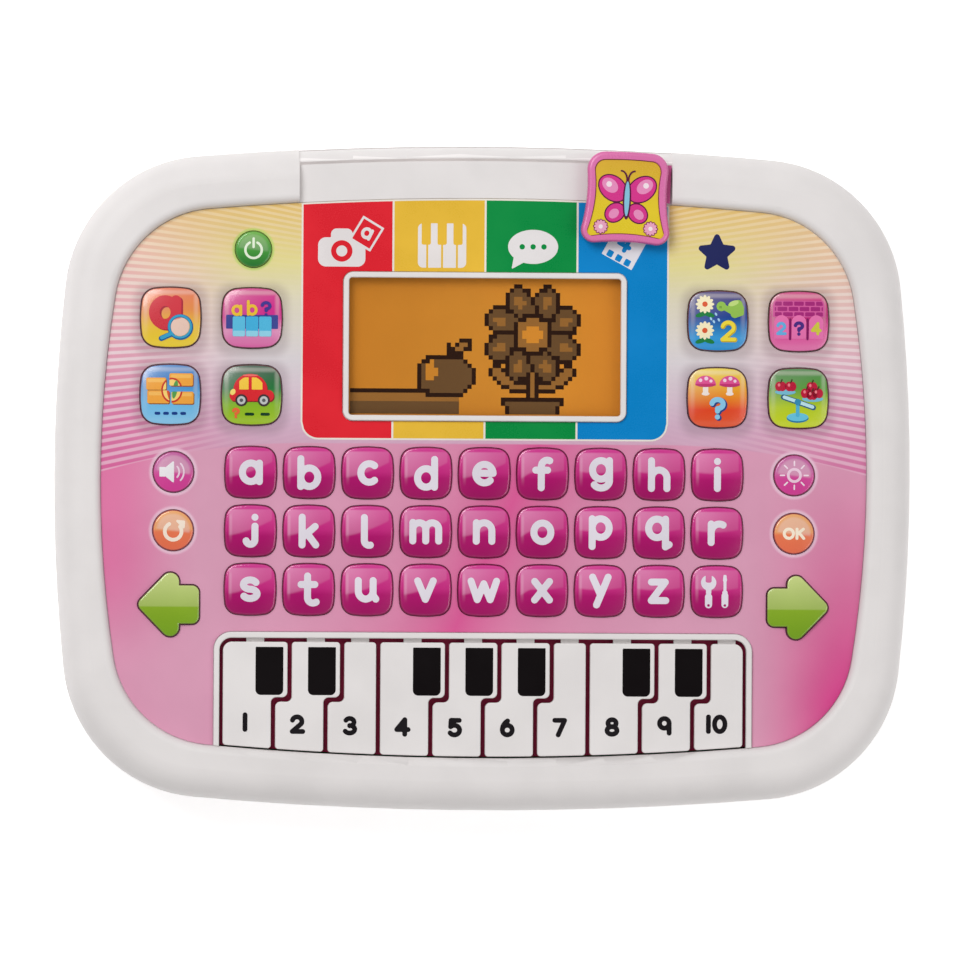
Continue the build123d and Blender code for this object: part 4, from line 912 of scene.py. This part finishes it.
FOOT_PITCH = 14.74
PADS = (1, 2, 4, 5, 6, 8, 9)
PAD_BLACK = paint("pad_black", (9, 3, 5), 0.45, 0.06, 0.1, shine=0.12)
for k in range(1, 11):
    name = f"piano_key_{k:02d}"
    foot_x = (k - 5.5) * FOOT_PITCH
    skin = Print(f"{name}_print", name, "white_plastic", level_at(high(name).z))
    if k in PADS:
        pad_x = foot_x + FOOT_PITCH / 2 - 1.1
        pad = join(block(pad_x, -53.55, 7.8, 11.8, 0.15), block(pad_x, -55.85, 7.8, 10.6, 1.5))
        skin.lay(pad, box_around(pad_x, -54.4, 4.3, 7.4), PAD_BLACK, 0.3)
    number_x, number_y = foot_x - 0.5, -70.1 + 1.3 * (foot_x / 66.3) ** 2
    number_box = box_around(number_x, number_y, 5.2, 3.6)
    skin.lay(text(str(k), number_x, number_y, 4.1, 0.68, 0.42), number_box, (24, 20, 24), 0.14)
    skin.make()

# ---- Colour blocks, their signs and a plain star on the faceplate ----

PANEL_Z = high("faceplate").z
screen = centre("screen_window")
BLOCK_HALF, BLOCK_PITCH, BLOCK_FOOT = 51.7, 25.9, 10.6
plate = Print("panel_print", "casing", "faceplate", level_at(PANEL_Z))

COLUMN_GAP, BLOCK_CORNER, BLOCK_EDGE = 0.28, 5.0, 0.5
FRAME_HALF, FRAME_CORNER = (40.0, 21.05), 2.95


def panel_top(x):
    return 78.55 - 880.0 + np.sqrt(880.0**2 - x**2)


def block_foot(inset):
    """The foot of the colour blocks, with its rounded corners."""
    def edge(x):
        over = np.clip(np.abs(x) - BLOCK_HALF + BLOCK_CORNER, 0, BLOCK_CORNER - inset)
        return BLOCK_FOOT + BLOCK_CORNER - np.sqrt((BLOCK_CORNER - inset) ** 2 - over**2)
    return edge


def frame_reach(x):
    """Half the height of the screen frame's hole in the faceplate at x."""
    over = np.clip(np.abs(x - screen.x) - FRAME_HALF[0] + FRAME_CORNER, 0, FRAME_CORNER - 0.05)
    return FRAME_HALF[1] - FRAME_CORNER + np.sqrt(FRAME_CORNER**2 - over**2)


def block_column(x0, x1, inset, colour, level):
    """One upright run of colour from the foot to the bezel, open where the screen frame stands."""
    straight = FRAME_HALF[0] - FRAME_CORNER
    marks = np.concatenate([np.linspace(-BLOCK_HALF, BLOCK_HALF, 42),
                            *(s * np.linspace(straight, FRAME_HALF[0], 10) for s in (-1, 1)),
                            *(s * np.linspace(46.0, BLOCK_HALF - inset, 12) for s in (-1, 1))])

    def run(a, b):
        return np.unique(np.concatenate([[a, b], marks[(marks > a) & (marks < b)]]))

    def under(x):
        return screen.y - frame_reach(x)

    def over(x):
        return screen.y + frame_reach(x)

    def head(x):
        return panel_top(x) - inset

    a, b = max(x0, -FRAME_HALF[0]), min(x1, FRAME_HALF[0])
    plate.band(run(a, b), block_foot(inset), under, colour, level)
    plate.band(run(a, b), over, head, colour, level)
    for a, b in ((x0, min(x1, -FRAME_HALF[0])), (max(x0, FRAME_HALF[0]), x1)):
        if a < b:
            plate.band(run(a, b), block_foot(inset), head, colour, level)


block_column(-BLOCK_HALF, BLOCK_HALF, 0.0, (238, 232, 222), 0)
BLOCKS = [(229, 36, 50), (236, 190, 60), (0, 143, 66), (0, 134, 206)]
for k, colour in enumerate(BLOCKS):
    x0 = max((k - 2) * BLOCK_PITCH + COLUMN_GAP, BLOCK_EDGE - BLOCK_HALF)
    x1 = min((k - 1) * BLOCK_PITCH - COLUMN_GAP, BLOCK_HALF - BLOCK_EDGE)
    block_column(x0, x1, BLOCK_EDGE, colour, 1)

# Red: a camera and the card it took.
cam_x, cam_y = -40.4, 63.3
body = join(block(cam_x, cam_y, 13.3, 8.2, 2.2), block(cam_x, cam_y + 3.6, 6.1, 6.0, 1.6))
card = block(-33.4, 68.5, 6.9, 7.7, 0.1, -31)
plate.lay(body, box_around(cam_x, 64.5, 8, 8), (236, 230, 230), 0.2, 2)
cam_ring = cut(disc(cam_x, cam_y + 0.3, 3.0), disc(cam_x, cam_y + 0.3, 1.55))
plate.lay(cam_ring, box_around(cam_x, cam_y, 4), BLOCKS[0], 0.15, 3)
plate.lay(card, box_around(-33.4, 68.5, 5.8), (236, 230, 230), 0.15, 3)
plate.lay(grow(card, -0.62), box_around(-33.4, 68.5, 5.8), BLOCKS[0], 0.15, 4)
plate.lay(text("a", -33.4, 68.6, 2.5, 0.46, turn=-26), box_around(-33.4, 68.5, 4), (236, 230, 230), 0.13, 5)
# Yellow: four piano keys.
keys_x, keys_y = -12.2, 65.3
gaps = [block(keys_x + 4.18 * k, keys_y, 0.55, 14) for k in (-1, 0, 1)]
blacks = [block(keys_x + 4.47 * k, keys_y + 4.5, 2.6, 8.6, 0.5) for k in (-1, 0, 1)]
four_keys = cut(block(keys_x, keys_y, 13.6, 12.5, 1.5), *gaps, *blacks)
plate.lay(four_keys, box_around(keys_x, keys_y, 8), (236, 230, 228), 0.15, 2)
# Green: a speech bubble.
bub_x, bub_y = 13.4, 65.1
tail = polygon([(bub_x - 5.3, bub_y - 2.8), (bub_x - 5.9, bub_y - 6.1), (bub_x - 2.4, bub_y - 4.2)], 0.1)
dots = [disc(bub_x + 3.06 * k, bub_y, 0.77) for k in (-1, 0, 1)]
bubble = cut(join(oval(bub_x, bub_y, 7.05, 4.8), tail), *dots)
plate.lay(bubble, box_around(bub_x, bub_y - 0.6, 8, 7), (236, 232, 232), 0.2, 2)
# Blue: a calendar page, most of it under the badge.
plate.lay(block(39.2, 65.2, 9.6, 9.5, 0.1, -28.7), box_around(39.2, 65.2, 8), (232, 232, 238), 0.2, 2)
plate.lay(text("4", 39.4, 66.3, 4.0, 0.62, turn=-28.7), box_around(39.4, 66.3, 4.5), BLOCKS[3], 0.15, 3)
for k in (-1, 0, 1):
    px, py = 37.5 + 2.4 * k, 62.1 - 1.3 * k
    plate.lay(block(px, py, 1.7, 1.9, 0.3, -28.7), box_around(px, py, 2.2), BLOCKS[3], 0.15, 3)
star = polygon([(65.2 + r * math.sin(a), 63.6 + r * math.cos(a)) for a, r in
                ((k * math.pi / 5, 4.6 if k % 2 == 0 else 2.2) for k in range(10))], 0.8)
plate.lay(star, box_around(65.2, 63.6, 7), (32, 38, 92), 0.2, 0)
plate.make()

# ---- Display: amber glass and a coarse picture of a potted flower and an apple on a table ----

n = Nodes("lcd_amber")
x, y, z, vector = n.place()
amber_light = n.ramp(n.spread(x, -38.0, 38.0, smooth=False),
                     [(0.0, (196, 126, 38)), (0.45, (202, 134, 44)), (0.8, (214, 140, 46)),
                      (1.0, (208, 132, 42))])
vertical = n.spread(n.size(n.minus(y, screen.y)), 10.0, 21.0, 0.0, 0.25)
amber_light = n.mix(vertical, amber_light, (178, 110, 34))
amber = n.surface(amber_light, vector, 0.5, 0.05, tint=0.03, shine=0.1, glow=0.1)
TONES = [None] + [paint(f"lcd_tone_{k}", tone, 0.5, 0.0, 0.04, shine=0.1, glow=0.06)
                  for k, tone in enumerate(((152, 104, 48), (106, 76, 44), (40, 16, 2)))]
COLUMNS, ROWS, CELL = 64, 32, 1.18


def lcd_picture():
    """A grid of tones, row 0 at the foot: 0 clear to 3 darkest."""
    art = np.zeros((COLUMNS, ROWS), int)
    gx, gy = np.meshgrid(np.arange(COLUMNS) + 0.5, np.arange(ROWS) + 0.5, indexing="ij")

    def outlined(field, tone, line=1.0):
        d = field(gx, gy)
        art[d < 0] = 3
        art[d < -line] = tone

    art[(gy < 5.9) & (gx < 26)] = 3
    art[(gy < 5) & (gx < 26)] = 1
    art[(gy < 3) & (gx < 26)] = 2
    # The plant: eight petals round a disc, a stem, two leaves and a pot.
    fx, fy = 43.5, 19.0
    outlined(strokes([[(43.5, 4), (43.5, 14)]], 1.3), 1, 0.7)
    outlined(oval(49.0, 8.2, 5.6, 2.4, 28), 1)
    outlined(oval(38.0, 8.2, 5.6, 2.4, -28), 1)
    for k in range(8):
        a = math.pi * k / 4 + 0.39
        outlined(oval(fx + 7.4 * math.cos(a), fy + 7.4 * math.sin(a), 4.9, 3.7, math.degrees(a)), 2)
    for k in range(8):
        a = math.pi * k / 4 + 0.39
        art[oval(fx + 8.2 * math.cos(a), fy + 8.2 * math.sin(a), 1.6, 1.1, math.degrees(a))(gx, gy) < 0] = 1
    outlined(disc(fx, fy, 5.0), 1)
    art[disc(fx, fy, 2.2)(gx, gy) < 0] = 0
    outlined(polygon([(37.5, -2), (49.5, -2), (51.0, 4.2), (36.0, 4.2)]), 2)
    # The apple.
    outlined(join(disc(20.6, 9.0, 5.0), disc(24.8, 9.0, 5.0)), 2)
    art[oval(19.2, 10.2, 1.5, 2.6)(gx, gy) < 0] = 0
    art[strokes([[(22.8, 13.2), (23.6, 16.8)]], 0.55)(gx, gy) < 0] = 3
    outlined(oval(26.6, 16.0, 2.8, 1.5, 25), 1)
    return art


lcd_z = 24.9
lcd_skin = Print("lcd_picture", "casing", "electronics", level_at(lcd_z))
lcd_skin.lay(block(screen.x, screen.y, 79.6, 41.6), box_around(screen.x, screen.y, 42, 23), amber, 2.0, 0)
picture = lcd_picture()
start_x, start_y = screen.x - COLUMNS * CELL / 2, screen.y - ROWS * CELL / 2
for tone in (1, 2, 3):
    for j in range(ROWS):
        i = 0
        while i < COLUMNS:
            if picture[i, j] != tone:
                i += 1
                continue
            run = i
            while run < COLUMNS and picture[run, j] == tone:
                run += 1
            x0, x1 = start_x + i * CELL, start_x + run * CELL
            y0, y1 = start_y + j * CELL, start_y + (j + 1) * CELL
            at = len(lcd_skin.points)
            for zz in (lcd_z + 0.08, lcd_z - 0.05):
                lcd_skin.points += [(x0, y0, zz), (x1, y0, zz), (x1, y1, zz), (x0, y1, zz)]
            quads = [(0, 1, 2, 3), (7, 6, 5, 4), (1, 0, 4, 5), (2, 1, 5, 6), (3, 2, 6, 7), (0, 3, 7, 4)]
            material = TONES[tone]
            if material not in lcd_skin.inks:
                lcd_skin.inks.append(material)
            lcd_skin.faces += [[at + q for q in quad] for quad in quads]
            lcd_skin.slots += [lcd_skin.inks.index(material)] * 6
            i = run
lcd_skin.make()

# The window over it: clear plastic that shows the display and a faint shine.
n = Nodes("clear_window")
x, y, z, vector = n.place()
n.surface((236, 236, 236), vector, 0.06, 0.02, tint=0.01)
n.shader.inputs["Metallic"].default_value = 1.0
clear = n.node("ShaderNodeBsdfTransparent")
clear.inputs[0].default_value = (1.0, 0.995, 0.985, 1.0)
blend = n.node("ShaderNodeMixShader")
# Reflects the same on both faces (Schlick), so the display stays in sight from low angles too.
HEAD_ON = 0.017
slope = n.node("ShaderNodeLayerWeight")
slope.inputs["Blend"].default_value = 0.5
graze = n.math("POWER", slope.outputs["Facing"], 5.0)
n.link(n.plus(n.times(graze, 1.0 - HEAD_ON), HEAD_ON), blend.inputs[0])
n.link(clear.outputs[0], blend.inputs[1])
n.link(n.shader.outputs[0], blend.inputs[2])
n.link(blend.outputs[0], n.output.inputs[0])
dress("screen_window", n.material)

# ---- Slider badge: pink border, yellow field, a butterfly ----

BADGE_R, MAGNET_R, STOP_PITCH = 935.6, 940.0, 26.3
BADGE_TURN = -math.degrees(math.asin(1.5 * STOP_PITCH / BADGE_R))
badge_x, magnet_x = (r * math.sin(math.radians(-BADGE_TURN)) for r in (BADGE_R, MAGNET_R))
badge_y, magnet_y = (ARC_Y + r * math.cos(math.radians(BADGE_TURN)) for r in (BADGE_R, MAGNET_R))
badge_shade = (184, 52, 126)
n = Nodes("badge_pink")
x, y, z, vector = n.place()
# Painted shading: upward faces lighter pink than the sloping sides, and the low runner under the badge a
# deeper pink, as in the badge's shadow.
rose = n.mix(n.spread(n.upright(), 0.5, 0.95), (212, 88, 154), (228, 120, 178))
rose = n.mix(n.spread(z, 29.3, 28.9), rose, badge_shade)
n.surface(rose, vector, 0.28, 0.06, 0.1, 2400.0, 0.04, coat=0.3)
dress("app_slider", n.material, metal("magnet_steel", (150, 150, 154)))
for face in nodes["app_slider"].data.polygons:
    fx, fy, fz = face.center / MM
    face.material_index = 1 if fz < 28.98 and math.hypot(fx - magnet_x, fy - magnet_y) < 2.52 else 0


def rounded(a, b, radius):
    """The overlap of two fields with its corner rounded."""
    u, v = a + radius, b + radius
    return np.minimum(np.maximum(u, v), 0) + np.hypot(np.maximum(u, 0), np.maximum(v, 0)) - radius


def badge_shape(inset):
    """The badge's outline, moved in: hollow sides and foot, full corners."""
    top_x, waist_x, foot_x = 12.1 - inset, 11.4 - inset, 13.8 - inset
    top_y, crest_y, foot_y, arch_y = 13.1 - inset, 13.6 - inset, inset - 13.1, inset - 11.7
    side = np.poly1d(np.polyfit([top_y, -2.0, foot_y], [top_x, waist_x, foot_x], 2))

    def field(x, y):
        over = y - crest_y + (crest_y - top_y) * (x / top_x) ** 2
        under = arch_y - (arch_y - foot_y) * (x / foot_x) ** 2 - y
        top = rounded(np.abs(x) - side(y), over, 5.6 - inset)
        return rounded(top, under, 3.7 - inset)
    return field


badge_z = high("app_slider").z - 0.5
badge_place = (badge_x, badge_y)
badge = Print("app_slider_print", "app_slider", "app_slider", level_at(badge_z), badge_place, BADGE_TURN)
BADGE_BOX = box_around(0, 0, 13.4)
badge.lay(badge_shape(2.15), BADGE_BOX, (132, 62, 60), 0.24, 0)
n = Nodes("badge_yellow")
x, y, z, vector = n.place()
yellow = n.mix(n.spread(y, badge_y - 4.0, badge_y + 12.0), (232, 206, 48), (222, 178, 58))
badge.lay(badge_shape(2.36), BADGE_BOX, n.surface(yellow, vector, 0.3, 0.06, 0.06, shine=0.3), 0.24, 1)
for s in (-1, 1):
    upper_wing = oval(s * 4.1, 3.2, 4.6, 3.5, s * 38)
    lower_wing = oval(s * 3.2, -3.6, 3.2, 2.7, s * -42)
    badge.lay(join(upper_wing, lower_wing), BADGE_BOX, (92, 26, 66), 0.2, 2)
    badge.lay(join(grow(upper_wing, -0.35), grow(lower_wing, -0.35)), BADGE_BOX, (220, 58, 144), 0.2, 3)
    badge.lay(oval(s * 4.9, 4.0, 2.5, 1.8, s * 38), BADGE_BOX, (238, 148, 196), 0.18, 4)
    badge.lay(oval(s * 3.5, -3.9, 1.6, 1.2, s * -42), BADGE_BOX, (238, 148, 196), 0.18, 4)
    badge.lay(disc(s * 5.2, 4.3, 0.8), BADGE_BOX, (250, 232, 240), 0.14, 5)
    badge.lay(strokes([arc(s * 1.9, 5.6, 1.7, 2.6, 90 + s * 88, 90)], 0.24), BADGE_BOX, (92, 26, 66), 0.14, 5)
    badge.lay(grow(daisy(s * 7.0, -7.7, 1.9), 0.22), BADGE_BOX, (132, 40, 84), 0.14, 2)
    badge.lay(daisy(s * 7.0, -7.7, 1.9), BADGE_BOX, (240, 170, 200), 0.14, 3)
    badge.lay(disc(s * 7.0, -7.7, 0.6), BADGE_BOX, (250, 236, 240), 0.12, 4)
badge.lay(oval(0, 0.2, 1.15, 5.6), BADGE_BOX, (92, 26, 66), 0.18, 6)
badge.lay(oval(0, 0.4, 0.7, 4.9), BADGE_BOX, (140, 200, 226), 0.16, 7)
badge.make()

# ---- Inside parts, by where each face lies ----

INSIDE = {
    "board": paint("board_green", (40, 104, 62), 0.38, 0.2, 0.1),
    "rubber": paint("dome_rubber", (120, 118, 122), 0.6, 0.3),
    # The piano mat glows faintly: painted light that lifts the gaps between the piano keys out of shade.
    "wine": paint("piano_mat_rubber", (168, 10, 72), 0.4, 0.25, 0.08, glow=0.05),
    "tray": paint("display_tray", (206, 204, 200), 0.5, 0.2),
    "dark": paint("dark_plastic", (34, 34, 38), 0.42, 0.2),
    "metal": metal("plated_steel", (196, 196, 198), 0.28),
    "cell": paint("cell_wrap", (60, 66, 74), 0.34, 0.1),
    "brass": metal("cell_band", (196, 148, 84), 0.3),
}
inside_names = list(INSIDE)
dress("electronics", *INSIDE.values())


def inside_kind(x, y, z):
    if z < 19.3 and abs(x) < 31 and abs(y - 25) < 16.5:
        if abs(x) > 24.3:
            return "metal"
        near = x if y > 25 else -x
        return "brass" if near > 13 else "cell"
    if math.hypot(x + 62, y + 34) < 18.5 and z < 14:
        return "metal" if z > 9.2 else "dark"
    if z < 19.85 and math.hypot(x - 40, y + 20) < 6.5:
        return "dark"
    if z <= 21.45:
        return "board"
    if y > 79:
        return "dark"
    if abs(x) < 76 and y < -42:
        return "wine"
    if abs(x - screen.x) < 42 and abs(y - screen.y) < 23:
        return "tray"
    return "rubber"


for face in nodes["electronics"].data.polygons:
    kind = inside_kind(*(face.center / MM))
    face.material_index = inside_names.index(kind)

# ---- Floor, light and camera ----


def plane(name, size, place):
    mesh = bpy.data.meshes.new(name)
    h = size / 2
    mesh.from_pydata([(-h, -h, 0), (h, -h, 0), (h, h, 0), (-h, h, 0)], [], [(0, 1, 2, 3)])
    made = bpy.data.objects.new(name, mesh)
    made.location = place
    bpy.context.scene.collection.objects.link(made)
    return made


floor = plane("floor", 6.0, (0, 0, -0.0002))
n = Nodes("floor_white")
floor.data.materials.append(n.surface((250, 250, 250), n.place()[3], 0.7, 0.05, tint=0.005, glow=0.5))

world = bpy.data.worlds.new("studio")
world.use_nodes = True
tree = world.node_tree
sky = tree.nodes["Background"]
sky.inputs[0].default_value = (1.0, 0.985, 0.98, 1.0)
# The room is darker straight overhead, so that flat glossy prints keep their depth, and near the
# horizon, so that the casing's rim reads against the floor. Each row is: from and to this height of
# the direction, from and to this strength.
OVERHEAD = (0.86, 0.97, 0.46, 0.08)
HORIZON = (0.1, 0.55, 0.3, 1.06)
split = tree.nodes.new("ShaderNodeSeparateXYZ")
tree.links.new(tree.nodes.new("ShaderNodeTexCoord").outputs["Generated"], split.inputs[0])
overhead = tree.nodes.new("ShaderNodeMapRange")
for socket, value in zip(list(overhead.inputs)[1:5], OVERHEAD):
    socket.default_value = value
tree.links.new(split.outputs[2], overhead.inputs[0])
horizon = tree.nodes.new("ShaderNodeMapRange")
for socket, value in zip(list(horizon.inputs)[1:5], HORIZON):
    socket.default_value = value
tree.links.new(split.outputs[2], horizon.inputs[0])
strength = tree.nodes.new("ShaderNodeMath")
strength.operation = "MULTIPLY"
tree.links.new(overhead.outputs[0], strength.inputs[0])
tree.links.new(horizon.outputs[0], strength.inputs[1])
tree.links.new(strength.outputs[0], sky.inputs[1])
bpy.context.scene.world = world
bpy.context.scene.view_settings.view_transform = "Standard"


def lamp(name, place, size, power, aim=(0, 0, 0)):
    data = bpy.data.lights.new(name, "AREA")
    data.shape, data.size, data.energy = "SQUARE", size, power
    made = bpy.data.objects.new(name, data)
    made.location = place
    made.rotation_euler = (Vector(aim) - Vector(place)).to_track_quat("-Z", "Y").to_euler()
    bpy.context.scene.collection.objects.link(made)


lamp("key_light", (-0.55, 0.62, 1.1), 0.7, 10.0)
lamp("fill_light", (0.8, -0.3, 0.85), 0.7, 3.0)

DISTANCE, LEAN, ROLL = 3.0, 2.9, 0.33
TARGET = Vector((-0.0005, -0.0005, 0.0145))
FRAME_WIDTH = 0.2709
cam_data = bpy.data.cameras.new("camera")
cam_data.sensor_width = 36.0
cam_data.lens = 36.0 * DISTANCE / FRAME_WIDTH
cam_data.clip_start, cam_data.clip_end = 0.01, 20.0
camera = bpy.data.objects.new("camera", cam_data)
lean = math.radians(LEAN)
camera.location = TARGET + DISTANCE * Vector((-math.sin(lean), 0, math.cos(lean)))
facing = Matrix.Rotation(-lean, 4, "Y") @ Matrix.Rotation(math.radians(ROLL), 4, "Z")
camera.rotation_euler = facing.to_euler()
bpy.context.scene.collection.objects.link(camera)
bpy.context.scene.camera = camera
